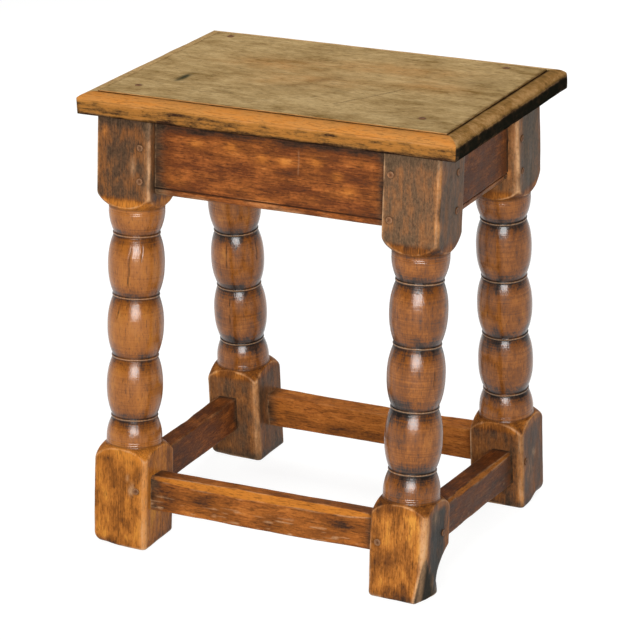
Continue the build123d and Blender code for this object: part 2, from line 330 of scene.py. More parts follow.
# How far a stretcher's two ends sit above their mean height: left and right, or front and back
STRETCHER_RISE = {"front": (4.0, 6.5), "back": (0.5, 2.0), "left": (-0.5, -0.5), "right": (5.0, -8.0)}


def sizes():
    """The sizes in use, in millimetres, with what follows from them."""
    group = bpy.context.scene.stool_sizes
    found = {name: getattr(group, name) / MM for name in StoolSizes.__annotations__}
    found["half"] = found["stock"] / 2
    found["lean"] = math.atan(found["splay"] / SEAT_UNDERSIDE)
    found["leg_x"] = LEG_LOW[0] + found["half"] - FRAME_MIDDLE
    return found


def in_leaning_frame(s, label, x, depth, along):
    """A point of the front or back frame: x from the frame's middle, depth behind the middle of
    the legs, and distance up the leaning frame."""
    sine, cosine = math.sin(s["lean"]), math.cos(s["lean"])
    y = -s["foot_spread"] + depth * cosine + along * sine
    z = -depth * sine + along * cosine
    if "back" in label:
        y = -y
    x, y, z = np.broadcast_arrays(x + FRAME_MIDDLE, y, z)
    return np.stack([x, y, z], axis=-1)


def up_to(s, z, depth=0.0):
    """Distance up the leaning frame of a point at height z and that depth."""
    return (z + depth * math.sin(s["lean"])) / math.cos(s["lean"])


# --------------------------------------------------------------------------------------
# Legs
# --------------------------------------------------------------------------------------

BOBBINS = 3
BOBBIN_FULLNESS = 2.3
BEAD_HALF_WIDTH = 0.6
GROOVE_HALF_WIDTH = 1.7
COLLAR_COVE = 2.2
UPPER_HALF_BOBBIN = 29.5
LOWER_HALF_BOBBIN = 29.0
UPPER_SHOULDER = 21.0
LOWER_SHOULDER = 18.0
SHOULDER_RADIUS = 31.4
SHOULDER_BELLY = 0.33
HALF_BOBBIN_SWELL = 1.5
HALF_BOBBIN_LIFT = 2.0
SCORED_LINES = (2.4, 4.6)
LEG_COLUMNS = 184
CORNER_CROWDING = 0.12
OUT_OF_REACH = 1000.0

# The worn foot: its outer arris is pared away towards the floor, and the inner corner of its
# outer face is scooped out
WORN_LEG = "front_right"
PARING_HEIGHT = 65.0
PARING_DEPTH = 12.0
PARING_DEPTH_BEHIND = 3.5
PARING_RUN = 22.0
SCOOP_ANGLE = 25.6
SCOOP_DEPTH = 13.0
SCOOP_RADIUS = 46.0
SCOOP_HEIGHT = 12.0

# Each leg's patina on its upper block, turning and lower block: how light it is, how much
# amber varnish is left, and how much of a pale bloom lies on it
TONE = {
    "front_left": (0.35, 0.72, 0.66),
    "front_right": (0.31, 0.53, 0.66),
    "back_right": (0.40, 0.57, 0.37),
    "back_left": (0.34, 0.57, 0.35),
}
AMBER = {
    "front_left": (0.10, 0.55, 0.30),
    "front_right": (0.00, 0.15, 0.20),
    "back_right": (0.05, 0.20, 0.00),
    "back_left": (0.00, 0.15, 0.00),
}
BLOOM = {
    "front_left": (0.12, 0.00, 0.04),
    "front_right": (0.19, 0.02, 0.06),
    "back_right": (0.16, 0.02, 0.10),
    "back_left": (0.12, 0.02, 0.14),
}

# What the right-hand faces of the right legs add to that, as painted shade: tone, and a greenish
# tint of painted reflection given as stain, on the upper and the lower block
RIGHT_FACES = {
    "front_right": ((-0.05, 0.00), (-0.56, 0.15)),
    "back_right": ((-0.28, 0.40), (0.00, 0.00)),
}

# The arris that hands and feet rub most on each leg, as an angle round it, and how far it is
# worn round on the upper and the lower block
RUBBED_ARRIS = {
    "front_left": (-45, 1.2, 3.2),
    "front_right": (-45, 2.6, 5.0),
    "back_right": (45, 1.4, 3.0),
    "back_left": (45, 1.4, 3.4),
}

# What shows along that arris: extra tone, amber and bare wood, each on the upper and the
# lower block
BANDS = {
    "front_left": ((0.00, 0.00, 0.15), (0.24, 0.70, 0.20)),
    "front_right": ((0.16, 0.45, 0.00), (0.10, 0.20, 0.55)),
    "back_right": ((0.10, 0.10, 0.25), (0.22, 0.50, 0.15)),
    "back_left": ((0.00, 0.00, 0.25), (0.22, 0.50, 0.20)),
}

# Bruised lower corners: the angle round the leg, its reach and how far up the foot is worn off
BROKEN_CORNERS = {
    "front_left": (-150, 62, 12.0),
    "front_right": (-150, 45, 3.0),
    "back_right": (-35, 55, 9.0),
    "back_left": (150, 55, 7.0),
}

# Cracks in the turnings: from an angle and a distance up the leg to another
CRACKS = {
    "front_left": [((-74, 334), (-79, 290)), ((-48, 338), (-51, 318)), ((-100, 270), (-104, 252))],
    "front_right": [((-28, 250), (-30, 230))],
    "back_right": [],
    "back_left": [((88, 282), (87, 240)), ((86, 205), (86, 160)), ((12, 276), (17, 248))],
}

# Bruises and old marks on the blocks: face, place across it, distance up the leg, half width,
# half height, and what is left there
LEG_MARKS = {
    "front_left": (
        ("front", 15, 68, 8, 15, "tone", -0.30),
        ("front", 14, 66, 3, 7, "wear_and_highlight", 0.80),
        ("front", 9, 78, 2, 4, "wear_and_highlight", 0.60),
        ("front", 5, 30, 4, 3, "tone", -0.35),
        ("front", -6, 20, 3, 3, "tone", -0.35),
        ("front", -20, 98, 9, 5, "tone", -0.40),
        ("front", -10, 84, 12, 10, "tone", -0.14),
        ("front", -4, 24, 16, 9, "tone", -0.14),
        ("front", 22, 100, 6, 12, "amber", 0.80),
        ("front", -6, 440, 12, 9, "tone", -0.22),
        ("front", 12, 424, 3, 9, "wear_and_highlight", 0.35),
        ("front", 4, 396, 14, 6, "tone", -0.15),
        ("front", -14, 412, 5, 12, "amber", 0.50),
    ),
    "front_right": (
        ("front", -10, 12, 4, 3, "tone", -0.35),
        ("front", 8, 17, 3, 5, "tone", -0.30),
        ("front", 2, 42, 4, 3, "tone", -0.25),
        ("front", -16, 470, 12, 8, "tone", -0.20),
        ("front", 6, 430, 5, 26, "tone", -0.12),
        ("right", -6, 90, 9, 10, "wear_and_highlight", 0.35),
    ),
    "back_right": (("right", 4, 60, 5, 5, "wear_and_highlight", 0.60), ("right", -8, 40, 7, 12, "wear_and_highlight", 0.30)),
    "back_left": (("front", 6, 40, 12, 10, "tone", -0.15), ("right", 0, 60, 9, 16, "wear_and_highlight", 0.45)),
}


def turning_marks(s, leg):
    """Where the collars and rings of one leg sit, measured up the leg."""
    rise = TURNING_RISE[leg]
    upper = up_to(s, SEAT_UNDERSIDE + rise) - s["upper_block"]
    lower = up_to(s, rise) + s["lower_block"]
    top_ring = upper - UPPER_HALF_BOBBIN
    pitch = (top_ring - lower - LOWER_HALF_BOBBIN) / BOBBINS
    return upper, lower, [top_ring - n * pitch for n in range(BOBBINS + 1)], pitch


def turned_radius(s, leg, d):
    """Radius of the turned stock at each distance up the leg: arcs for the bobbins, half
    bobbins and shoulders, and beyond the shoulders more than the square stock can reach."""
    upper, lower, rings, pitch = turning_marks(s, leg)
    corner = s["half"] * math.sqrt(2) + 1
    belly = (corner + SHOULDER_RADIUS) / 2
    swell = (s["collar"] + s["groove"]) / 2 + HALF_BOBBIN_SWELL
    radius = np.full(d.shape, corner)

    def between(start, middle, end):
        """Set the radius to the arc through three points, from the first to the last."""
        inside = (d >= start[0]) & (d <= end[0])
        radius[inside] = arc(d[inside], start, middle, end)

    lower_start, lower_square = lower - COLLAR_COVE, lower - LOWER_SHOULDER
    upper_start, upper_square = upper + COLLAR_COVE, upper + UPPER_SHOULDER
    lower_belly = lower_start - (lower_start - lower_square) * SHOULDER_BELLY
    upper_belly = upper_start + (upper_square - upper_start) * SHOULDER_BELLY
    between((lower_square, corner), (lower_belly, belly), (lower_start, SHOULDER_RADIUS))
    between((upper_start, SHOULDER_RADIUS), (upper_belly, belly), (upper_square, corner))
    for a, b in ((lower_start, lower), (upper, upper_start)):
        inside = (d >= a) & (d <= b)
        near = np.abs(d[inside] - (b if a == lower_start else a)) / COLLAR_COVE
        radius[inside] = s["collar"] + (SHOULDER_RADIUS - s["collar"]) * near
    low, high = rings[-1] - GROOVE_HALF_WIDTH, rings[0] + GROOVE_HALF_WIDTH
    middle = (lower + low) / 2 + HALF_BOBBIN_LIFT
    between((lower, s["collar"]), (middle, swell), (low, s["groove"]))
    middle = (upper + high) / 2 - HALF_BOBBIN_LIFT
    between((high, s["groove"]), (middle, swell), (upper, s["collar"]))
    for ring in rings[1:]:
        a, b = ring + GROOVE_HALF_WIDTH, ring + pitch - GROOVE_HALF_WIDTH
        inside = (d >= a) & (d <= b)
        off = np.abs(2 * (d[inside] - a) / (b - a) - 1)
        radius[inside] = s["groove"] + (s["bobbin"] - s["groove"]) * (1 - off**BOBBIN_FULLNESS)
    for ring in rings:
        across = np.abs(d - ring)
        bead = s["groove"] + (s["bead"] - s["groove"]) * step(GROOVE_HALF_WIDTH, BEAD_HALF_WIDTH, across)
        radius = np.where(across <= GROOVE_HALF_WIDTH, bead, radius)
    for line in SCORED_LINES:
        radius = radius - 0.35 * bump(d, lower + line, 0.5) - 0.25 * bump(d, upper - line, 0.5)
    return radius


def square_reach(half, angle, rounding):
    """Distance from the middle of a square to its side at an angle, its corners rounded to
    that radius: h/cos on the flat, and on the corner the far crossing with its circle."""
    turned = np.abs((angle + math.pi / 4) % (math.pi / 2) - math.pi / 4)
    flat = half / np.cos(turned)
    centre = half - rounding
    towards = centre * (np.cos(turned) + np.sin(turned))
    corner = towards + np.sqrt(np.maximum(towards**2 - 2 * centre**2 + rounding**2, 0))
    return np.where(half * np.tan(turned) <= centre, flat, corner)


def degrees_from(angle, degrees):
    """Degrees from a direction round the leg, from -180 to 180."""
    return (np.degrees(angle) - degrees + 180) % 360 - 180


def round_about(angle, degrees, reach):
    """1 at an angle round the leg, falling to 0 at that many degrees to either side."""
    return step(reach, 0, np.abs(degrees_from(angle, degrees)))


def worn_reach(s, leg, angle, rows, shear):
    """Where rays from the leg's middle line meet the paring plane or the scoop's cylinder."""

    def ray_end(distance):
        """The point that far out along each ray."""
        depth = distance * np.sin(angle)
        x = s["leg_x"] + distance * np.cos(angle)
        return in_leaning_frame(s, leg, x, depth, rows + shear * depth * math.tan(s["lean"]))

    start = ray_end(0.0)
    ray = ray_end(1.0) - start
    outer = s["leg_x"] + s["half"] + FRAME_MIDDLE
    front = -s["foot_spread"] - s["half"]
    a = np.array([outer - PARING_DEPTH, front, 0])
    b = np.array([outer - PARING_DEPTH_BEHIND, front + PARING_RUN, 0])
    c = np.array([outer, front + PARING_HEIGHT * math.tan(s["lean"]), PARING_HEIGHT])
    normal = np.cross(b - a, c - a)
    facing = ray @ normal
    paring = np.where(facing > 1e-6, ((a - start) @ normal) / np.maximum(facing, 1e-6), OUT_OF_REACH)
    paring = np.where(paring > 0, paring, OUT_OF_REACH)

    turn = math.radians(SCOOP_ANGLE)
    outward = np.array([math.cos(turn), math.sin(turn), 0])
    axis = np.array([-outward[1], outward[0], 0])
    corner = np.array([outer, -s["foot_spread"] + s["half"], SCOOP_HEIGHT])
    offset = start - (corner + outward * (SCOOP_RADIUS - SCOOP_DEPTH))
    offset = offset - (offset @ axis)[..., None] * axis
    ray = ray - (ray @ axis)[..., None] * axis
    aa, bb = np.sum(ray**2, axis=-1), np.sum(ray * offset, axis=-1)
    inside = bb**2 - aa * (np.sum(offset**2, axis=-1) - SCOOP_RADIUS**2)
    scoop = (-bb - np.sqrt(np.maximum(inside, 0))) / aa
    scoop = np.where((inside > 0) & (scoop > 0), scoop, OUT_OF_REACH)
    return np.minimum(lower_of(paring, scoop, 3.0), OUT_OF_REACH)


def leg_rows(s, leg):
    """Rows up the leg, close together at its foot, arches and rings."""
    upper, lower, rings, _ = turning_marks(s, leg)
    stops = [(0, 0.8), (12, 1.4), (lower - LOWER_SHOULDER - 3, 0.65), (lower - 3, 0.4), (lower + 6, 1.1)]
    for ring in reversed(rings):
        stops += [(ring - 3, 0.4), (ring + 3, 1.1)]
    stops += [(upper - 6, 0.4), (upper + 3, 0.65), (upper + UPPER_SHOULDER + 3, 1.5)]
    stops += [(up_to(s, SEAT_UNDERSIDE), 1.0)]
    return stations(*stops)


def leg_patches(s, leg, pegs):
    """Leg as a polar surface about its leaning middle line: at each height and angle the lower
    of the square stock's reach and the turned radius, with the end rows sheared level, and
    then pitted, cracked and worn."""
    seed = LEGS.index(leg)
    side = 1 if "right" in leg else -1
    rows = leg_rows(s, leg)[:, None]
    phi = np.linspace(0, 2 * math.pi, LEG_COLUMNS, endpoint=False)[None, :]
    angle = phi + CORNER_CROWDING * np.sin(4 * phi)
    top = up_to(s, SEAT_UNDERSIDE)
    upper, lower, rings, _ = turning_marks(s, leg)
    on_lower = step(lower - 8, lower - 16, rows) + 0 * angle
    on_upper = step(upper + 8, upper + 16, rows) + 0 * angle
    on_turning = step(lower - 3, lower, rows) * step(upper + 3, upper, rows) + 0 * angle

    reach = 60.0
    shear = step(reach, 0, rows) + step(top - reach, top, rows)
    wander = np.stack(np.broadcast_arrays(40 * np.cos(angle), 40 * np.sin(angle), rows + 0.0), axis=-1)
    drift = noise(wander, (20, 20, 16), 50 + seed)
    rubbed, upper_worn, lower_worn = RUBBED_ARRIS[leg]
    handled = round_about(angle, rubbed, 30)
    rounding = 1.7 + 0.5 * drift + handled * (upper_worn * on_upper + lower_worn * on_lower)
    worn_arch = 0.9 + 1.3 * step(lower + 2, lower - 4, rows) + 0.6 * step(upper - 2, upper + 4, rows)
    turned = turned_radius(s, leg, rows + 0 * angle)
    radius = lower_of(square_reach(s["half"], angle, rounding), turned, worn_arch)

    corner, corner_reach, corner_height = BROKEN_CORNERS[leg]
    foot_round = 3.2 + 1.2 * drift + corner_height * round_about(angle, corner, corner_reach)
    height = np.clip(rows, 0, foot_round)
    radius = radius - (foot_round - np.sqrt(np.maximum(foot_round**2 - (foot_round - height) ** 2, 0)))
    whole = radius
    if leg == WORN_LEG:
        radius = lower_of(radius, worn_reach(s, leg, angle, rows, shear), 2.0)
    pared = step(0.3, 1.6, whole - radius)

    x, depth = radius * np.cos(angle), radius * np.sin(angle)
    local = np.stack(np.broadcast_arrays(x, depth, rows + 0.0), axis=-1)
    worn = (1 - 0.55 * on_turning) * step(0, 14, rows)
    uneven = 0.42 * noise(local, (28, 28, 55), 10 + seed) + 0.2 * noise(local, (8, 8, 26), 20 + seed)
    uneven = uneven + 0.12 * noise(local, (3.4, 3.4, 9), 25 + seed)
    split = 0.0
    for a, b in CRACKS[leg]:
        around = np.radians(degrees_from(angle, a[0])) * s["bobbin"]
        end = (math.radians(b[0] - a[0]) * s["bobbin"], b[1])
        split = split + line_mark(around, rows, (0.0, a[1]), end, 0.8)
    radius = radius - 0.4 + uneven * worn - 0.3 * split

    x, depth = radius * np.cos(angle), radius * np.sin(angle)
    d = rows + shear * depth * math.tan(s["lean"])
    points = in_leaning_frame(s, leg, side * s["leg_x"] + x, depth, d)
    points[0, :, 2] = 0.0
    points[-1, :, 2] = SEAT_UNDERSIDE
    local = np.stack(np.broadcast_arrays(x, depth, d), axis=-1)
    timber = local + np.array([37.0 + 11 * seed, 24.0 - 7 * seed, 900.0 * seed])

    # sharp marks arrises and grooves; broad marks wider hollows, where the tone is darkened as painted shade
    sharp, broad = relief(local, True, 3), relief(local, True, 14)
    patchy = noise(local, (11, 11, 20), 60 + seed)
    fine = noise(local, (3.5, 3.5, 9), 64 + seed)

    def blend(levels):
        """One value over the leg, from its levels on the upper block, turning and lower block."""
        above, turning, below = levels
        return turning + (above - turning) * on_upper + (below - turning) * on_lower

    arris = np.clip(sharp * 4 - 0.15, 0, 1) * (1 - on_turning) * step(-0.8, 0.6, patchy + 0.6 * fine)
    # At the arch where the turning cuts into the square: a paler, amber rim of rubbed wood and painted
    # highlight, and painted shade on the shoulder beside it
    cut_in = square_reach(s["half"], angle, rounding) - turned
    arch = bump(cut_in, 0.0, 1.0) * (1 - on_turning) * (0.8 + 0.5 * patchy) * (0.4 + 0.6 * on_lower)
    shoulder = step(0, 2, cut_in) * (1 - on_turning)
    mottled = np.maximum(on_upper, on_lower * (leg == "front_left"))
    band = round_about(angle, rubbed, 11) * (1 + 0.4 * drift + 0.4 * patchy)
    band_tone, band_amber, band_wear = (
        band * (above * on_upper + below * on_lower) for above, below in zip(*BANDS[leg])
    )
    # Painted shade on the right-hand faces: darker, with a greenish painted reflection
    right_face = step(0.7, 0.95, np.cos(angle))
    upper_right, lower_right = RIGHT_FACES.get(leg, ((0, 0), (0, 0)))
    right_shade, right_reflection_tint = (
        right_face * (above * on_upper + below * on_lower) for above, below in zip(upper_right, lower_right)
    )
    # Painted shade towards each groove at the bobbins' ends: darker and less amber there
    hollow = step(s["bobbin"] - 0.6, s["groove"], turned) * on_turning
    # Painted highlight: a pale line along each small bead, over the bead's rubbed wood
    beads = sum(bump(rows, ring, 0.6) for ring in rings)
    # Dirt and painted shade in the grooves beside the beads and where the collars meet the blocks
    ring_dirt_and_shade = sum(bump(np.abs(rows - ring), GROOVE_HALF_WIDTH, 1.3) for ring in rings)
    collars = bump(rows, lower - 0.6, 1.5) + bump(rows, upper + 0.6, 1.4)
    values = {
        # The tone darkens over the top 22 mm as a painted shadow of the seat
        "tone": blend(TONE[leg]) + (0.09 + 0.02 * mottled) * (patchy + fine) + band_tone + right_shade
        + 0.05 * arris + 0.22 * arch - 0.07 * shoulder - 0.38 * hollow - 0.6 * pared
        - 0.24 * step(14, 0, rows) - 0.3 * step(top - 22, top - 6, rows) - 0.14 * np.clip(-broad, 0, 1),
        "amber": blend(AMBER[leg]) * (1 - 0.8 * hollow) + band_amber + 0.5 * arch + 0.12 * patchy,
        "wear_and_highlight": blend(BLOOM[leg]) + 0.6 * arris + 0.3 * arch + band_wear + 0.5 * beads,
        "grime": np.clip(-sharp * 3 - 0.15, 0, 1) * (1 - 0.6 * on_turning) + 0.42 * ring_dirt_and_shade
        + 0.5 * collars + 0.7 * split + 0.4 * pared + peg_dirt(points, pegs),
        "stain": right_reflection_tint + 0.2 * pared,
        "turned": on_turning,
    }  # fmt: skip
    mirrored = -1 if "back" in leg else 1
    across = {"front": x, "right": mirrored * depth}
    facing = {"front": -mirrored * depth, "right": x}
    for face, place, up, wide, high, value, amount in LEG_MARKS[leg]:
        spot = np.exp(-(((across[face] - place) / wide) ** 2) - ((rows - up) / high) ** 2)
        spot = spot * step(s["half"] - 8, s["half"] - 4, facing[face]) * (0.7 + 0.6 * fine)
        values[value] = values[value] + amount * spot
    flip = "back" in leg
    body = Patch(points, timber, wrap=True, flip=flip, **values)
    return [body] + caps_of(points, timber, flip, (1.0, 0.75, 0.5, 0.25, 0.0), tone=0.25, grime=0.4)


# --------------------------------------------------------------------------------------
# Pegs
# --------------------------------------------------------------------------------------

PEG_COLUMNS = 24

# How far the points of one peg's end lie from its tip, and of the whole peg along and beside
# its line
PEG_END_REACH = 9.0
PEG_REACH = 60.0
PEG_ASIDE = 10.0


def peg_heads(node):
    """The middle of each peg's outer end and its outward direction, read from the node: the
    points of one peg lie in line, and its outer end is the one further from the stool's middle
    line, or the upper one in the seat."""
    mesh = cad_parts[node].data
    points = np.zeros(len(mesh.vertices) * 3, np.float32)
    mesh.vertices.foreach_get("co", points)
    points = points.reshape(-1, 3) / MM
    upright = node == "seat_pegs"
    leg_face = LEG_HIGH[0] - FRAME_MIDDLE
    heads = []
    while len(points):
        aside = np.max(np.abs(points[:, :2] - [FRAME_MIDDLE, 0]), axis=1)
        tip = points[np.argmax(points[:, 2] if upright else aside)]
        end = np.linalg.norm(points - tip, axis=1) < PEG_END_REACH
        middle = (points[end].min(axis=0) + points[end].max(axis=0)) / 2
        along_x = abs(abs(middle[0] - FRAME_MIDDLE) - leg_face) < 3
        heads.append((middle, "z" if upright else "x" if along_x else "y"))
        away = np.linalg.norm(points - middle, axis=1)
        points = points[away > PEG_REACH] if upright else points[~same_peg(points, *heads[-1])]
    return heads


def same_peg(points, head, axis):
    """Which points belong to the peg with this head, within a peg's width of its line."""
    keep = [i for i in range(3) if "xyz"[i] != axis]
    aside = np.linalg.norm((points - head)[:, keep], axis=1)
    along = np.abs((points - head)[:, "xyz".index(axis)])
    return (aside < PEG_ASIDE) & (along < PEG_REACH)


def peg_dirt(points, pegs):
    """Dirt in the joint round each peg, stronger on one side."""
    dirt = np.zeros(points.shape[:2])
    for number, (head, _) in enumerate(pegs):
        away = np.linalg.norm(points - head, axis=-1)
        dirt = dirt + bump(away, 4.0, 1.3) * (0.4 + 0.35 * noise(points, (5, 5, 5), 300 + number))
    return dirt


# --------------------------------------------------------------------------------------
# Rails and stretchers
# --------------------------------------------------------------------------------------

CHEEK = 15.0
TENON_THICKNESS = 10.0
TENON_LENGTH = 37.0
RAIL_TENON = (2.0, 75.5)
STRETCHER_TENON = (4.0, 35.0)
LET_IN = 0.5
RAIL_THUMBNAIL = 7.0
RAIL_QUIRK = 2.0
STRETCHER_CHAMFER = {"front": 8.0, "back": 5.5, "left": 4.5, "right": 4.5}
RAIL_CHIP = 0.962

# Lighter, more amber spots along the front rail: share of the length, and height
RAIL_SPOTS = (
    (0.18, 60.5),
    (0.335, 62.0),
    (0.47, 54.0),
    (0.565, 54.0),
    (0.70, 57.5),
    (0.79, 46.0),
    (0.84, 32.0),
)

# Darker blotches on the stretchers' faces: share of the length, height, and reach of both
STRETCHER_BLOTCHES = {
    "front": ((0.07, 16, 0.05, 14), (0.24, 20, 0.05, 9), (0.56, 10, 0.10, 7), (0.86, 22, 0.06, 8)),
    "back": ((0.10, 12, 0.08, 14), (0.50, 8, 0.30, 7)),
}

# Tone, amber, bloom and greenish stain of each member's face
MEMBER_FINISH = {
    "rail": {
        "front": (0.54, 0.10, 0.03, 0.0),
        "back": (0.50, 0.05, 0.05, 0.0),
        "left": (0.46, 0.05, 0.05, 0.1),
        "right": (0.50, 0.00, 0.06, 0.12),
    },
    "stretcher": {
        "front": (0.62, 0.30, 0.03, 0.0),
        "back": (0.74, 0.35, 0.03, 0.0),
        "left": (0.50, 0.10, 0.06, 0.05),
        "right": (0.46, 0.05, 0.06, 0.1),
    },
}


def outline(corners, spacing):
    """Closed outline through corners, walked at about that spacing. A corner is (x, y, radius),
    and its rounding is an arc that touches both its sides."""
    corners = np.array(corners, float)
    before = np.roll(corners, 1, axis=0)
    after = np.roll(corners, -1, axis=0)
    runs = []
    for (px, py, _), (x, y, radius), (nx, ny, _) in zip(before, corners, after):
        here = np.array([x, y])
        if radius <= 0:
            runs.append(here[None, :])
            continue
        back, ahead = np.array([px, py]) - here, np.array([nx, ny]) - here
        back /= np.linalg.norm(back)
        ahead /= np.linalg.norm(ahead)
        opening = math.acos(np.clip(back @ ahead, -1, 1))
        trim = radius / math.tan(opening / 2)
        centre = here + (back + ahead) / np.linalg.norm(back + ahead) * radius / math.sin(opening / 2)
        start, end = here + back * trim - centre, here + ahead * trim - centre
        spread = math.pi - opening
        t = np.linspace(0, 1, max(int(radius * spread / 0.4), 3))[:, None]
        runs.append(centre + (np.sin((1 - t) * spread) * start + np.sin(t * spread) * end) / math.sin(spread))
    path = np.concatenate(runs)
    filled = []
    for a, b in zip(path, np.roll(path, -1, axis=0)):
        count = max(int(round(np.linalg.norm(b - a) / spacing)), 1)
        filled.append(a + (b - a) * np.linspace(0, 1, count, endpoint=False)[:, None])
    return np.concatenate(filled)


def rail_outline(s):
    """Rail seen from its end, (depth behind its face, height above its foot): a thumbnail
    moulding under a fine quirk, then the plain face."""
    lip = RAIL_THUMBNAIL + RAIL_QUIRK
    corners = [
        (s["rail_thickness"], 0, 1.0),
        (5.2, 0, 0.0),
        (3.4, 0.5, 0.0),
        (1.9, 2.2, 0.0),
        (1.0, 4.6, 0.0),
        (0.8, RAIL_THUMBNAIL - 0.5, 0.4),
        (2.6, RAIL_THUMBNAIL + 0.6, 0.0),
        (0.0, lip, 0.5),
        (0.0, s["rail_height"] + 3, 0.0),
        (s["rail_thickness"], s["rail_height"] + 3, 0.0),
    ]
    return outline(corners, 1.25)


def stretcher_outline(s):
    """Stretcher seen from its end, with small rounded arrises."""
    thickness, height = s["stretcher_thickness"], s["stretcher_height"]
    corners = [(0, 0, 1.6), (0, height, 2.0), (thickness, height, 1.8), (thickness, 0, 1.5)]
    return outline(corners, 1.1)


def member_patches(s, label, kind):
    """Rail or stretcher: its outline carried from one leg to the other, and beyond each
    shoulder shrunk onto its tenon. The end members' shoulders lean with the legs."""
    rail = kind == "rail"
    seed = 40 + 10 * rail + SIDES.index(label)
    section = rail_outline(s) if rail else stretcher_outline(s)
    foot = SEAT_UNDERSIDE - s["rail_height"] if rail else s["stretcher_foot"]
    rise = (0.0, 0.0) if rail else STRETCHER_RISE[label]
    tenon = RAIL_TENON if rail else STRETCHER_TENON
    near = CHEEK - s["setback"]
    low, high = np.array([near, tenon[0]]), np.array([near + TENON_THICKNESS, tenon[1]])
    slim = np.clip(section, low, high)

    t = stations((0, 0.003), (0.03, 0.0048), (0.97, 0.003), (1, 1))
    share = np.concatenate([[0, 0], t, [1, 1]])[:, None]
    body = np.concatenate([[0, 0], np.ones(len(t)), [0, 0]])[:, None]
    end = np.concatenate([[-1, 0], np.zeros(len(t)), [0, 1]])[:, None]
    depth = np.where(body > 0, section[None, :, 0], slim[None, :, 0])
    height = np.where(body > 0, section[None, :, 1], slim[None, :, 1])

    length = 2 * (s["leg_x"] - s["half"])
    flat = np.stack(np.broadcast_arrays(share * length, depth, height), axis=-1)
    worn_face = step(s["setback"], 0, depth) * body
    chamfer = np.zeros_like(depth)
    if not rail:
        cut = STRETCHER_CHAMFER[label] * (0.35 + 0.65 * np.sin(math.pi * share) ** 0.6)
        cut = cut + 0.9 * noise(flat * [1, 0, 0], (26, 9, 9), seed + 2)
        over = np.maximum(cut - depth - (s["stretcher_height"] - height), 0) * body
        depth, height = depth + over / 2, height - over / 2
        chamfer = step(0, 1.5, over)
    elif label == "right":
        chip = 9 * bump(share, RAIL_CHIP, 0.018) * step(9, 0, height) * step(9, 0, depth) * body
        depth, height = depth + 0.5 * chip, height + 0.7 * chip
    uneven = 0.4 * noise(flat, (60, 25, 25), seed) + 0.18 * noise(flat, (24, 8, 8), seed + 5)
    uneven = uneven + 0.1 * noise(flat, (9, 3, 3), seed + 6)
    depth = depth + (0.35 + uneven) * worn_face
    height = height + uneven * body * (height < (tenon[1] if rail else 1e9)) * (0.3 if rail else 1)

    lift = rise[0] + (rise[1] - rise[0]) * share
    if label in ("front", "back"):
        inner = s["leg_x"] - s["half"]
        x = (2 * share - 1) * (inner + LET_IN) + end * (TENON_LENGTH - LET_IN)
        layer = depth - s["half"] + s["setback"]
        along = up_to(s, foot + lift, -s["half"] + s["setback"]) + height
        if rail:
            along = np.minimum(along, up_to(s, SEAT_UNDERSIDE, layer))
        points = in_leaning_frame(s, label, x, layer, along)
        flip = label == "back"
    else:
        z = foot + lift + height
        if rail:
            z = np.minimum(z, SEAT_UNDERSIDE)
        inner = s["foot_spread"] - s["half"] / math.cos(s["lean"]) - z * math.tan(s["lean"])
        y = (2 * share - 1) * (inner + LET_IN) + end * (TENON_LENGTH - LET_IN)
        side = 1 if label == "right" else -1
        x = side * (s["leg_x"] + s["half"] - s["setback"] - depth) + FRAME_MIDDLE
        points = np.stack(np.broadcast_arrays(x, y, z), axis=-1)
        flip = label == "left"
    local = np.stack(np.broadcast_arrays(depth, height, share * length), axis=-1)
    timber = local + np.array([30.0 + 9 * seed, 50.0 - 5 * seed, 700.0 * seed])

    sharp = relief(local, True, 3, outward=-1)
    patchy = noise(local, (9, 9, 26), seed + 20)
    fine = noise(local, (3, 3, 9), seed + 21)
    shoulders = (bump(share, 0, 0.04) + bump(share, 1, 0.035)) * body
    arris = np.clip(sharp * 4 - 0.12, 0, 1) * step(-0.7, 0.7, patchy + 0.5 * fine) * body
    tone, amber, bloom, stain = MEMBER_FINISH[kind][label]
    values = {
        "tone": tone + 0.06 * patchy + 0.03 * fine - 0.34 * shoulders,
        "amber": amber + 0.1 * patchy,
        "wear_and_highlight": bloom + 0.5 * arris + 0.12 * shoulders,
        "grime": np.clip(-sharp * 4 - 0.1, 0, 1) + 0.5 * shoulders * (1 + patchy),
        "stain": stain * worn_face,
    }
    if rail:
        moulding = step(RAIL_THUMBNAIL + 1, RAIL_THUMBNAIL - 1, height) * worn_face
        # Painted shadow of the seat along the rail's top, darker towards it
        top_shade = step(s["rail_height"] - 22, s["rail_height"] - 6, height)
        values["tone"] = values["tone"] + 0.12 * moulding - 0.4 * top_shade
        if label == "front":
            for number, (place, up) in enumerate(RAIL_SPOTS):
                spot = bump(share * length, place * length, 8.5 - number % 3) * bump(height, up, 5.0)
                values["tone"] = values["tone"] + 0.2 * spot
                values["amber"] = values["amber"] + 0.35 * spot
            scribed = line_mark(share * length, height, (0.625 * length, 42), (0.625 * length, 69), 0.8)
            values["wear_and_highlight"] = values["wear_and_highlight"] + 0.2 * scribed
    else:
        scuffs = step(0.4, 0.95, noise(flat, (13, 1.7, 1.7), seed + 23)) * step(24, 12, height) * worn_face
        values["tone"] = values["tone"] + 0.2 * chamfer
        for place, up, wide, high in STRETCHER_BLOTCHES.get(label, ()):
            values["tone"] = values["tone"] - 0.3 * bump(share, place, wide) * bump(height, up, high)
        values["amber"] = values["amber"] + 0.6 * chamfer
        values["wear_and_highlight"] = values["wear_and_highlight"] + (0.5 if label == "front" else 0.2) * scuffs
    member = Patch(points, timber, True, flip, **values)
    return [member] + caps_of(points, timber, flip, (1.0, 0.5, 0.0), tone=0.3)


# --------------------------------------------------------------------------------------
# Seat board
# --------------------------------------------------------------------------------------

FIELD_INSET = 19.0
SIDE_HEIGHT = 15.0
OVOLO_TOP = 22.5
SEAT_CORNER = 7.5
SEAT_GRID = (240, 172)

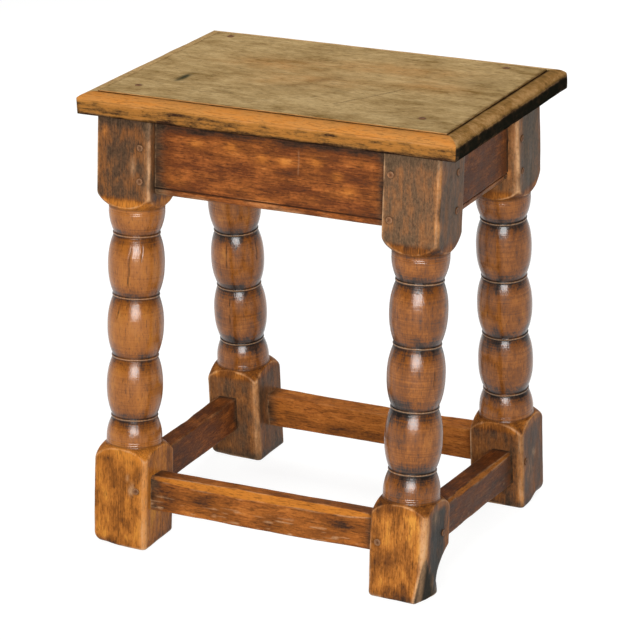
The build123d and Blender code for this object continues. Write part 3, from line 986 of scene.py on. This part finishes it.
# What happened to the field of the seat, as places from the frame's middle: stains as (x, y,
# half length, half width, turn in degrees, strength), warm patches in the same way but all of
# one strength, and scratches from one place to another
SEAT_STAINS = (
    (-138, -51, 15, 4.0, 90, 1.0),
    (3, -4, 36, 13, 60, 0.55),
    (-18, -38, 26, 11, 20, 0.4),
    (36, -34, 18, 6, -40, 0.4),
    (150, -100, 26, 9, 0, 0.3),
    (165, 60, 34, 22, 30, 0.3),
    (-60, 60, 44, 16, 10, 0.2),
)
SEAT_WARM = (
    (-70, 40, 60, 26, 8),
    (60, 70, 70, 24, 4),
    (-10, -10, 60, 26, 15),
    (120, 20, 40, 20, 0),
)
SEAT_SCRATCHES = (
    ((52, -80), (76, -42)),
    ((76, -42), (97, 4)),
    ((-96, -96), (-60, -84)),
    ((20, -68), (28, -60)),
)


def seat_profile():
    """The edge of the seat from the field inwards to the underside: (inset, height). A small
    step down from the field, the ovolo, the upright side and the rounded lower arris."""
    thickness = SEAT_TOP - SEAT_UNDERSIDE
    inset = np.linspace(FIELD_INSET - 1.2, 0.8, 24)
    ovolo = arc(inset, (0.0, SIDE_HEIGHT), (5.2, SIDE_HEIGHT + 5.4), (FIELD_INSET, OVOLO_TOP))
    step_down = [
        (FIELD_INSET + 1.5, thickness),
        (FIELD_INSET + 0.7, thickness - 0.1),
        (FIELD_INSET + 0.25, thickness - 0.45),
        (FIELD_INSET, thickness - 1.1),
        (FIELD_INSET - 0.1, OVOLO_TOP - 0.35),
        (FIELD_INSET - 0.5, OVOLO_TOP - 0.6),
    ]
    side = [(0.35, SIDE_HEIGHT + 1.0), (0.1, SIDE_HEIGHT)]
    side += [(0, z) for z in (13.5, 12, 10.5, 9, 7.5, 6, 4.6)]
    lower = [(0.1, 3.4), (0.5, 2.0), (1.2, 0.9), (2.2, 0.25), (3.4, 0), (5.0, 0)]
    return np.array(step_down + list(zip(inset, ovolo)) + side + lower)


def turned_spot(x, y, spot):
    """Oval mark of height 1 at its middle, lying at an angle."""
    cx, cy, long, wide, turn = spot[:5]
    c, s = math.cos(math.radians(turn)), math.sin(math.radians(turn))
    u, v = (x - cx) * c + (y - cy) * s, (y - cy) * c - (x - cx) * s
    return np.exp(-((u / long) ** 2) - (v / wide) ** 2)


def seat_patches(pegs):
    """Seat board: a grid over the field, the edge's profile carried round it in mitred rings,
    and the underside shrunk in rings onto its middle, all sharing the points of their borders."""
    profile = seat_profile()
    middle = (SEAT_LOW + SEAT_HIGH) / 2
    half = (SEAT_HIGH - SEAT_LOW)[:2] / 2
    across_x, across_y = (np.linspace(-1, 1, count) for count in SEAT_GRID)

    def grid(inset):
        """Grid over the rectangle at that inset, as x and y."""
        reach_x, reach_y = half - inset
        return np.broadcast_arrays(reach_x * across_x[:, None], reach_y * across_y[None, :])

    def rim(inset):
        """Once round the rectangle at that inset, anticlockwise from above."""
        return [np.concatenate([g[:-1, 0], g[-1, :-1], g[:0:-1, -1], g[0, :0:-1]]) for g in grid(inset)]

    def settle(x, y, z, inset):
        """Round the corners, hollow the board a little, and wear it."""
        place = np.stack([x, y])
        corner = np.maximum(np.abs(place) - half.reshape(2, *[1] * x.ndim) + SEAT_CORNER, 0)
        over = np.maximum(np.hypot(*corner) / SEAT_CORNER, 1)
        both = (corner[0] > 0) & (corner[1] > 0)
        x, y = place - np.sign(place) * np.where(both, corner * (1 - 1 / over), 0)
        flat = np.stack([x, y, 40 + 0 * x], axis=-1)
        top, edge = step(8, 20, z), step(FIELD_INSET, 0, inset)
        dents = step(0.66, 0.95, noise(flat, (14, 5, 90), 75)) * step(0.4, -0.4, edge)
        # Round the corners, hollow the board a little, and dent and rub it.
        z = z + top * (0.3 * noise(flat, (70, 45, 90), 70) + 0.14 * noise(flat, (18, 9, 90), 71) - 0.45)
        z = z - 0.3 * top * dents
        solid = np.stack([x, y, z], axis=-1)
        pull = edge * (0.4 * noise(solid, (26, 26, 26), 72) + 0.2 * noise(solid, (8, 8, 8), 73) + 0.45)
        x = x - np.sign(x) * pull * (np.abs(x) > half[0] - FIELD_INSET)
        y = y - np.sign(y) * pull * (np.abs(y) > half[1] - FIELD_INSET)
        return np.stack([x, y, z], axis=-1)

    offset = np.array([middle[0], middle[1], SEAT_UNDERSIDE])

    def timber(local):
        """The plank's own directions: across, through and along its grain, which runs in X."""
        return local[..., [1, 2, 0]] + np.array([400.0, 80.0, 5000.0])

    top = settle(*grid(profile[0, 0]), profile[0, 1], profile[0, 0])
    edge = np.stack([settle(*rim(inset), z, inset) for inset, z in profile])

    fx, fy = top[..., 0] + middle[0] - FRAME_MIDDLE, top[..., 1] + middle[1]
    stain = sum(turned_spot(fx, fy, spot) * spot[5] for spot in SEAT_STAINS)
    ragged = 0.75 + 0.5 * noise(top, (12, 7, 90), 80)
    burn = turned_spot(fx, fy, SEAT_STAINS[0])
    scratch = sum(line_mark(fx, fy, a, b, 0.9) for a, b in SEAT_SCRATCHES)
    top[..., 2] -= 0.35 * scratch
    border = np.minimum(half[0] - np.abs(top[..., 0]), half[1] - np.abs(top[..., 1])) - FIELD_INSET
    cloudy = 0.07 * noise(top, (60, 40, 90), 83) + 0.05 * noise(top, (26, 9, 90), 84)
    field = {
        "tone": 0.78 + cloudy - 0.15 * stain - 0.12 * step(6, 0, border),
        "amber": 0.12 + 0.28 * sum(turned_spot(fx, fy, spot) for spot in SEAT_WARM) * ragged,
        "wear_and_highlight": 0.25 * step(2.5, 0.3, border) * step(-0.4, 0.6, noise(top, (20, 20, 90), 81)),
        "grime": 0.7 * scratch + peg_dirt(top + offset, pegs),
        "stain": 0.55 * stain * ragged + 0.8 * burn,
    }

    sharp = relief(edge, True, 2, outward=-1)
    patchy, fine = noise(edge, (24, 12, 8), 86), noise(edge, (16, 4, 1.8), 87)
    inwards = half.reshape(2, 1, 1) - np.abs(np.moveaxis(edge[..., :2], -1, 0))
    height = edge[..., 2]
    on_end = inwards[0] < inwards[1]
    right = on_end & (edge[..., 0] > 0)
    crest = bump(height, SIDE_HEIGHT + 4.5, 3.8)
    upper = step(SIDE_HEIGHT - 3, SIDE_HEIGHT + 3, height)
    # Painted shadow: a dark line in the quirk where the field steps down to the ovolo; the lip above it is a
    # little paler, as a painted highlight
    quirk = bump(height, OVOLO_TOP - 0.3, 1.0) * step(FIELD_INSET - 5, FIELD_INSET - 1, inwards.min(axis=0))
    # Painted light: the ovolo of the left end and the back is lighter and less amber, and the quirk's painted
    # shadow is mostly left off there
    far_ovolo_painted_light = np.where(right | (~on_end & (edge[..., 1] < 0)), 0.0, step(SIDE_HEIGHT, SIDE_HEIGHT + 4, height))
    quirk = quirk * (1 - 0.9 * far_ovolo_painted_light)
    lip = step(OVOLO_TOP + 0.8, OVOLO_TOP + 1.4, height)
    band = {
        # Painted shadow: the lowest few millimetres of the edge are darker
        "tone": 0.39 + 0.46 * upper + 0.06 * patchy + 0.14 * fine - 0.2 * step(5, 0, height) + 0.15 * far_ovolo_painted_light
        # On the right end, painted shade: the edge darker, with a greenish painted reflection, less so on the
        # ovolo's crest
        - np.where(right, 0.4 - 0.2 * crest, 0.1 * on_end),
        "amber": np.where(right, 0.4, 0.95 - 0.15 * upper) * (1 - lip) * (1 - 0.7 * far_ovolo_painted_light),
        "wear_and_highlight": 0.3 * np.clip(sharp * 4 - 0.1, 0, 1) * step(-0.6, 0.7, patchy + fine) + 0.1 * lip,
        "grime": 0.6 * np.clip(-sharp * 5, 0, 1) + quirk + 0.4 * step(4, 0, height) + 0.25 * (1 - upper),
        "stain": np.where(right, 0.3 * (1 - crest), 0.1 * on_end),
    }  # fmt: skip
    under = caps_of(edge, timber(edge), True, (1.0, 0.93, 0.8, 0.6, 0.35, 0.0), tone=0.5, grime=0.2)[1]
    under.points = under.points + offset
    return [
        Patch(top + offset, timber(top), flip=False, **field),
        Patch(edge + offset, timber(edge), True, flip=True, **band),
        under,
    ]


# A peg from its head to its tip: distance from its end, share of its width, rubbed, dirty
PEG_STATIONS = (
    (0.30, 0.0, 0.10, 0.30),
    (0.20, 0.4, 0.20, 0.20),
    (0.05, 0.7, 0.30, 0.10),
    (0.15, 0.9, 0.35, 0.10),
    (0.50, 1.0, 0.10, 0.50),
    (1.60, 1.0, 0.00, 0.80),
    (26.0, 1.0, 0.00, 0.40),
    (34.0, 0.6, 0.00, 0.20),
    (34.0, 0.0, 0.00, 0.20),
)


def peg_patches(s, pegs, seed):
    """Riven pegs: a roughly eight-sided shank, a low worn head and a tapered tip, as rings
    carried along each peg's line."""
    patches = []
    along, width, rubbed, dirty = np.array(PEG_STATIONS).T[..., None]
    turn = np.linspace(0, 2 * math.pi, PEG_COLUMNS, endpoint=False)[None, :]
    circle = np.stack([np.cos(turn), np.sin(turn), 0 * turn], axis=-1)
    lean = s["lean"]
    for number, (head, axis) in enumerate(pegs):
        uneven = 0.05 * noise(circle + 9 * number, (0.8, 0.8, 1), seed)
        ring = s["peg"] * width * (0.95 - 0.03 * np.cos(8 * turn + number) + uneven)
        bruised = 0.2 * (1 - width) * noise(circle * 2 + 9 * number, (1, 1, 1), seed + 1)
        inwards = along + bruised * (along < 2)
        local = np.stack(np.broadcast_arrays(ring * np.cos(turn), ring * np.sin(turn), inwards), axis=-1)
        side = 1 if head["xyz".index(axis)] > 0 else -1
        if axis == "x":
            directions = [[0, side, 0], [0, 0, 1], [-side, 0, 0]]
        elif axis == "y":
            up = [0, -side * math.sin(lean), math.cos(lean)]
            directions = [[-side, 0, 0], up, [0, -side * math.cos(lean), -math.sin(lean)]]
        else:
            directions = [[1, 0, 0], [0, 1, 0], [0, 0, -1]]
        points = head + local @ np.array(directions, float)
        values = {"tone": 0.42 + 0 * ring, "wear_and_highlight": rubbed + 0 * ring, "grime": dirty + 0 * ring}
        timber = local + np.array([90.0 * number + 30, 40.0, 300.0])
        patches.append(Patch(points, timber, True, axis == "z", **values))
    return patches


# --------------------------------------------------------------------------------------
# Finishes
# --------------------------------------------------------------------------------------


def add(tree, kind, inputs=None, **settings):
    """A new node with its settings, its inputs set to values or linked to outputs."""
    node = tree.nodes.new("ShaderNode" + kind)
    for name, value in settings.items():
        setattr(node, name, value)
    for key, value in (inputs or {}).items():
        if isinstance(value, bpy.types.Node):
            value = next(output for output in value.outputs if output.enabled)
        if isinstance(value, bpy.types.NodeSocket):
            tree.links.new(value, node.inputs[key])
        else:
            node.inputs[key].default_value = value
    return node


# Noises that the finish is made of: cells to the metre across the grain, how much finer or
# coarser across and along, detail, and roughness. Growth and wear are finer in real oak; the
# fibres and pores are drawn 1 to 2 mm wide, as fine as still shows at arm's length.
NOISES = {
    "fibres": (520.0, (1.0, 1.0, 0.055), 4.0, 0.65),
    "pores": (900.0, (1.0, 1.0, 0.11), 1.0, 0.5),
    "specks": (420.0, (1.0, 1.0, 0.6), 3.0, 0.7),
    "clouds": (75.0, (1.0, 1.0, 0.45), 6.0, 0.7),
    "broad": (26.0, (1.0, 1.0, 0.4), 3.0, 0.5),
    "lathe": (620.0, (0.03, 0.03, 1.0), 3.0, 0.6),
    "sway": (14.0, (1.0, 1.0, 0.5), 2.0, 0.5),
}


def waxed_oak(name, light, middle, dark, grain, patina, relief_share, roughness, sheen, ring_spacing):
    """Oak, riven, planed or turned, then waxed and handled for centuries. It shows growth rings
    and long fibres cut by the surface, open pores as fine dark dashes, clouds of darker and
    more amber patina, pale rubbed arrises and painted highlights, black wax and painted shade in
    the corners, lathe lines on the turned lengths, and a soft gloss. Wood worn dry has a sheen of 0."""
    c = bpy.context.scene.stool_colours
    material = bpy.data.materials.new(name)
    material.use_nodes = True
    tree = material.node_tree
    tree.nodes.clear()
    place = add(tree, "Attribute", attribute_name="timber").outputs["Vector"]
    tone, amber, wear_and_highlight, grime, stain, turned = (
        add(tree, "Attribute", attribute_name=value).outputs["Fac"] for value in VALUES
    )
    noises = {}
    for key, (scale, stretch, detail, rough) in NOISES.items():
        along = add(tree, "Mapping", {"Vector": place, "Scale": stretch})
        pattern = {"Vector": along, "Scale": scale, "Detail": detail, "Roughness": rough}
        noises[key] = add(tree, "TexNoise", pattern)

    # Rings: a wave round the tree's heart, which lies outside the timber, swaying a little
    ahead = {0: noises["sway"].outputs["Color"], 1: (0.008, 0.008, 0.0), 2: place}
    swaying = add(tree, "VectorMath", ahead, operation="MULTIPLY_ADD")
    rings = {"Vector": swaying, "Scale": 0.314 / ring_spacing, "Distortion": 1.2, "Detail": 2.0}
    rings = add(tree, "TexWave", rings, wave_type="RINGS", rings_direction="Z", wave_profile="SAW")
    rings = rings.outputs["Fac"]

    # Tone: the vertex's own, plus each pattern about its mean of a half
    amounts = {"fibres": 0.55 * grain, "specks": 0.45 * grain, "clouds": patina, "broad": 0.5 * patina}
    total = sum(amounts.values()) + 0.09
    tone = add(tree, "Math", {0: tone, 1: 0.5 * total}, operation="SUBTRACT")
    tone = add(tree, "Math", {0: rings, 1: 0.09, 2: tone}, operation="MULTIPLY_ADD")
    for key, amount in amounts.items():
        tone = add(tree, "Math", {0: noises[key], 1: amount, 2: tone}, operation="MULTIPLY_ADD")

    # The lathe tore the grain across: on turned lengths its lines take the place of the fibres
    score = add(tree, "Math", {0: noises["lathe"], 1: 1.3, 2: -0.65}, operation="MULTIPLY_ADD")
    fibre = add(tree, "Math", {0: noises["fibres"], 1: -0.6, 2: 0.3}, operation="MULTIPLY_ADD")
    score = add(tree, "Math", {0: score, 1: fibre}, operation="ADD")
    score = add(tree, "Math", {0: score, 1: turned}, operation="MULTIPLY")
    tone = add(tree, "Math", {0: score, 1: 0.5, 2: tone}, operation="MULTIPLY_ADD")
    pores = add(tree, "Math", {0: turned, 1: 0.05, 2: noises["pores"]}, operation="MULTIPLY_ADD")

    # Each of the other values, broken up by a pattern: value * (gain * pattern + base)
    broken = []
    for value, pattern, gain, base in (
        (amber, tone, 1.2, 0.1),
        (wear_and_highlight, noises["specks"], 1.8, 0.1),
        (grime, noises["clouds"], 2.0, 0.0),
        (stain, noises["clouds"], 2.4, -0.2),
    ):
        pattern = add(tree, "Math", {0: pattern, 1: gain, 2: base}, operation="MULTIPLY_ADD")
        broken.append(add(tree, "Math", {0: value, 1: pattern}, operation="MULTIPLY"))
    amber, wear_and_highlight, grime, stain = broken

    # Colour: one layer over another, each from nothing at the first value to its most at the
    # second
    colour = light
    layers = (
        (tone, 1.0, 0.75, 1.0, middle),
        (tone, 0.75, 0.5, 1.0, dark),
        (amber, 0.0, 1.0, 0.9, c.amber),
        (turned, 0.0, 1.0, 0.48, c.varnish),
        (tone, 0.44, 0.2, 1.0, c.crust),
        (tone, 0.2, 0.0, 1.0, c.dirt),
        (pores, 0.43, 0.35, 0.5 * grain, c.dirt),
        (noises["specks"], 0.40, 0.28, 0.5 * grain, c.crust),
        (stain, 0.0, 1.0, 0.9, c.stain),
        (wear_and_highlight, 0.05, 0.9, 0.85, c.rubbed),
        (grime, 0.05, 1.0, 0.93, c.dirt),
    )
    for value, start, end, most, paint in layers:
        share = add(tree, "MapRange", {"Value": value, "From Min": start, "From Max": end, "To Max": most})
        colour = add(tree, "Mix", {0: share, 6: colour, 7: paint}, data_type="RGBA")

    # Relief: the fibres, and less strongly the pores, specks and lathe lines
    height = noises["fibres"]
    for value in (noises["pores"], noises["specks"], score):
        height = add(tree, "Math", {0: value, 1: 0.8, 2: height}, operation="MULTIPLY_ADD")
    bump_settings = {"Height": height, "Strength": relief_share, "Distance": 0.0005}
    gloss = {0: noises["clouds"], 1: 0.2, 2: roughness - 0.1}
    gloss = add(tree, "Math", gloss, operation="MULTIPLY_ADD")
    gloss = add(tree, "Math", {0: grime, 1: 0.2, 2: gloss}, operation="MULTIPLY_ADD")
    # The wax has dulled except on the turned lengths
    polish = add(tree, "Math", {0: turned, 1: 0.72}, operation="MULTIPLY")
    polish = add(tree, "Math", {0: grime, 1: -0.6, 2: polish}, operation="MULTIPLY_ADD", use_clamp=True)
    waxed = {"Base Color": colour, "Roughness": gloss, "Normal": add(tree, "Bump", bump_settings)}
    waxed.update({"IOR": 1.46, "Specular IOR Level": sheen, "Coat Weight": polish})
    waxed.update({"Coat Roughness": 0.42 * roughness, "Coat IOR": 1.5, "Coat Normal": waxed["Normal"]})
    add(tree, "OutputMaterial", {"Surface": add(tree, "BsdfPrincipled", waxed)})
    return material


# Each finish: the name of its three colours, how strong its grain, patina and relief are, its
# roughness and sheen, and its ring spacing in metres
FINISHES = {
    "seat_oak": ("seat", 0.65, 0.95, 0.4, 0.6, 0.0, 0.0035),
    "leg_oak": ("leg", 0.9, 1.15, 0.25, 0.42, 0.1, 0.0028),
    "rail_oak": ("rail", 0.9, 1.05, 0.4, 0.48, 0.1, 0.003),
    "stretcher_oak": ("rail", 0.9, 1.05, 0.4, 0.48, 0.1, 0.003),
    "peg_oak": ("rail", 0.9, 1.05, 0.4, 0.48, 0.1, 0.003),
}


def finish_for(slot):
    """The finish of one of the record's slots, made once."""
    name = "waxed_" + slot
    if name in bpy.data.materials:
        return bpy.data.materials[name]
    wood, *numbers = FINISHES[slot]
    c = bpy.context.scene.stool_colours
    colours = [getattr(c, wood + shade) for shade in ("_light", "_middle", "_dark")]
    return waxed_oak(name, *colours, *numbers)


# --------------------------------------------------------------------------------------
# Operators
# --------------------------------------------------------------------------------------


class STOOL_OT_legs(bpy.types.Operator):
    """Build the four turned legs"""

    bl_idname = "stool.legs"
    bl_label = "Legs"

    def execute(self, context):
        s = sizes()
        pegs = peg_heads("rail_pegs") + peg_heads("stretcher_pegs")
        for leg in LEGS:
            make_piece(["leg_" + leg], "leg_oak", leg_patches(s, leg, pegs))
        return {"FINISHED"}


class STOOL_OT_rails(bpy.types.Operator):
    """Build the four moulded rails"""

    bl_idname = "stool.rails"
    bl_label = "Rails"

    def execute(self, context):
        s = sizes()
        for label in SIDES:
            make_piece(["rail_" + label], "rail_oak", member_patches(s, label, "rail"))
        return {"FINISHED"}


class STOOL_OT_stretchers(bpy.types.Operator):
    """Build the four stretchers"""

    bl_idname = "stool.stretchers"
    bl_label = "Stretchers"

    def execute(self, context):
        s = sizes()
        for label in SIDES:
            patches = member_patches(s, label, "stretcher")
            make_piece(["stretcher_" + label], "stretcher_oak", patches)
        return {"FINISHED"}


class STOOL_OT_seat(bpy.types.Operator):
    """Build the seat board"""

    bl_idname = "stool.seat"
    bl_label = "Seat board"

    def execute(self, context):
        make_piece(["seat_board"], "seat_oak", seat_patches(peg_heads("seat_pegs")))
        return {"FINISHED"}


class STOOL_OT_pegs(bpy.types.Operator):
    """Build the riven pegs"""

    bl_idname = "stool.pegs"
    bl_label = "Pegs"

    def execute(self, context):
        s = sizes()
        for seed, node in ((400, "rail_pegs"), (430, "stretcher_pegs"), (460, "seat_pegs")):
            make_piece([node], "peg_oak", peg_patches(s, peg_heads(node), seed))
        return {"FINISHED"}


class STOOL_OT_studio(bpy.types.Operator):
    """Set up the floor, the lamps and the camera"""

    bl_idname = "stool.studio"
    bl_label = "Studio"

    def execute(self, context):
        scene = context.scene
        build_floor(scene)
        light_studio(scene)
        place_camera(scene)
        return {"FINISHED"}


# --------------------------------------------------------------------------------------
# Studio
# --------------------------------------------------------------------------------------

FLOOR_REACH = 12.0
FLOOR_GLOW = 0.87
SKY_LOW, SKY_HIGH = 0.14, 0.7
LAMP_AIM = (0.0, 0.0, 0.25)
LAMP_DISTANCE = 2.6

CAMERA_PLACE = (1.2764, -2.667, 1.3002)
CAMERA_YAW = 25.69
CAMERA_PITCH = 19.85
CAMERA_ROLL = -0.33
CAMERA_LENS = 161.8


def build_floor(scene):
    """A plain matt floor, as wide as a studio. It glows for the camera and for reflections, and
    its paint takes the shadow, so it looks pale without lighting the stool from below."""
    mesh = bpy.data.meshes.new("studio_floor")
    corners = [(x, y, 0) for x, y in ((-1, -1), (1, -1), (1, 1), (-1, 1))]
    mesh.from_pydata([Vector(corner) * FLOOR_REACH for corner in corners], [], [(0, 1, 2, 3)])
    floor = bpy.data.objects.new("studio_floor", mesh)
    scene.collection.objects.link(floor)
    material = bpy.data.materials.new("painted_studio_floor")
    material.use_nodes = True
    tree = material.node_tree
    tree.nodes.clear()
    paint = add(tree, "BsdfDiffuse", {"Color": scene.stool_colours.floor})
    ray = add(tree, "LightPath").outputs
    seen = add(tree, "Math", {0: ray["Is Camera Ray"], 1: ray["Is Glossy Ray"]}, operation="MAXIMUM")
    seen = add(tree, "Math", {0: seen, 1: ray["Is Transmission Ray"]}, operation="MAXIMUM")
    level = add(tree, "Math", {0: seen, 1: FLOOR_GLOW}, operation="MULTIPLY")
    glow = add(tree, "Emission", {"Strength": level})
    add(tree, "OutputMaterial", {"Surface": add(tree, "AddShader", {0: paint, 1: glow})})
    mesh.materials.append(material)


def lamp(scene, name, azimuth, elevation, size, level):
    """A soft lamp of that width and height, turned to the stool. Azimuth 0 is in front and 90 at
    the right. A level of 1 lights a white surface that faces it as bright as white, from a
    power of level * pi^2 * distance^2 watts."""
    data = bpy.data.lights.new(name, "AREA")
    data.shape = "RECTANGLE"
    data.size, data.size_y = size
    data.energy = level * math.pi**2 * LAMP_DISTANCE**2
    light = bpy.data.objects.new(name, data)
    scene.collection.objects.link(light)
    a, e = math.radians(azimuth), math.radians(elevation)
    away = Vector((math.sin(a) * math.cos(e), -math.cos(a) * math.cos(e), math.sin(e)))
    light.location = Vector(LAMP_AIM) + away * LAMP_DISTANCE
    light.rotation_euler = away.to_track_quat("Z", "Y").to_euler()
    return light


def light_studio(scene):
    """A wide soft lamp beside the camera and a little below it, two weaker ones for the other
    sides, and a dim sky that is pale along the horizon."""
    world = bpy.data.worlds.new("studio_sky")
    scene.world = world
    world.use_nodes = True
    tree = world.node_tree
    tree.nodes.clear()
    direction = add(tree, "SeparateXYZ", {0: add(tree, "TexCoord").outputs["Generated"]})
    band = {"Value": direction.outputs["Z"], "From Min": 0.2, "From Max": 0.06}
    band.update({"To Min": SKY_LOW, "To Max": SKY_HIGH})
    sky = {"Color": (1, 1, 1, 1), "Strength": add(tree, "MapRange", band)}
    add(tree, "OutputWorld", {"Surface": add(tree, "Background", sky)})
    lamp(scene, "key_lamp", 22, 15, (1.5, 0.9), 1.08)
    lamp(scene, "left_lamp", 285, 30, (1.4, 1.4), 0.36).visible_glossy = False
    lamp(scene, "back_lamp", 180, 40, (1.4, 1.4), 0.68).visible_glossy = False
    scene.view_settings.view_transform = "Standard"


def place_camera(scene):
    """The camera, looking down on the stool from the front right."""
    data = bpy.data.cameras.new("camera")
    data.lens, data.sensor_width = CAMERA_LENS, 36.0
    data.clip_start, data.clip_end = 0.05, 60.0
    camera = bpy.data.objects.new("camera", data)
    scene.collection.objects.link(camera)
    camera.location = CAMERA_PLACE
    yaw, tilt, roll = (math.radians(a) for a in (CAMERA_YAW, 90 - CAMERA_PITCH, CAMERA_ROLL))
    turn = Matrix.Rotation(yaw, 3, "Z") @ Matrix.Rotation(tilt, 3, "X") @ Matrix.Rotation(roll, 3, "Z")
    camera.rotation_euler = turn.to_euler()
    scene.camera = camera


# --------------------------------------------------------------------------------------
# Panel and registration
# --------------------------------------------------------------------------------------

OPERATORS = (
    STOOL_OT_seat,
    STOOL_OT_legs,
    STOOL_OT_rails,
    STOOL_OT_stretchers,
    STOOL_OT_pegs,
    STOOL_OT_studio,
)


class STOOL_PT_panel(bpy.types.Panel):
    """The stool's operators, sizes and colours"""

    bl_label = "Joint Stool"
    bl_idname = "STOOL_PT_panel"
    bl_space_type = "VIEW_3D"
    bl_region_type = "UI"
    bl_category = "Joint Stool"

    def draw(self, context):
        for operator in OPERATORS:
            self.layout.operator(operator.bl_idname)
        for group in (context.scene.stool_sizes, context.scene.stool_colours):
            box = self.layout.box()
            for name in type(group).__annotations__:
                box.prop(group, name)


CLASSES = (StoolSizes, StoolColours, *OPERATORS, STOOL_PT_panel)


def register():
    for item in CLASSES:
        bpy.utils.register_class(item)
    bpy.types.Scene.stool_sizes = bpy.props.PointerProperty(type=StoolSizes)
    bpy.types.Scene.stool_colours = bpy.props.PointerProperty(type=StoolColours)


def unregister():
    del bpy.types.Scene.stool_colours
    del bpy.types.Scene.stool_sizes
    for item in reversed(CLASSES):
        bpy.utils.unregister_class(item)


def main():
    """Builds the stool and its studio."""
    register()
    bpy.ops.stool.seat()
    bpy.ops.stool.legs()
    bpy.ops.stool.rails()
    bpy.ops.stool.stretchers()
    bpy.ops.stool.pegs()
    bpy.ops.stool.studio()


if __name__ == "__main__":
    main()
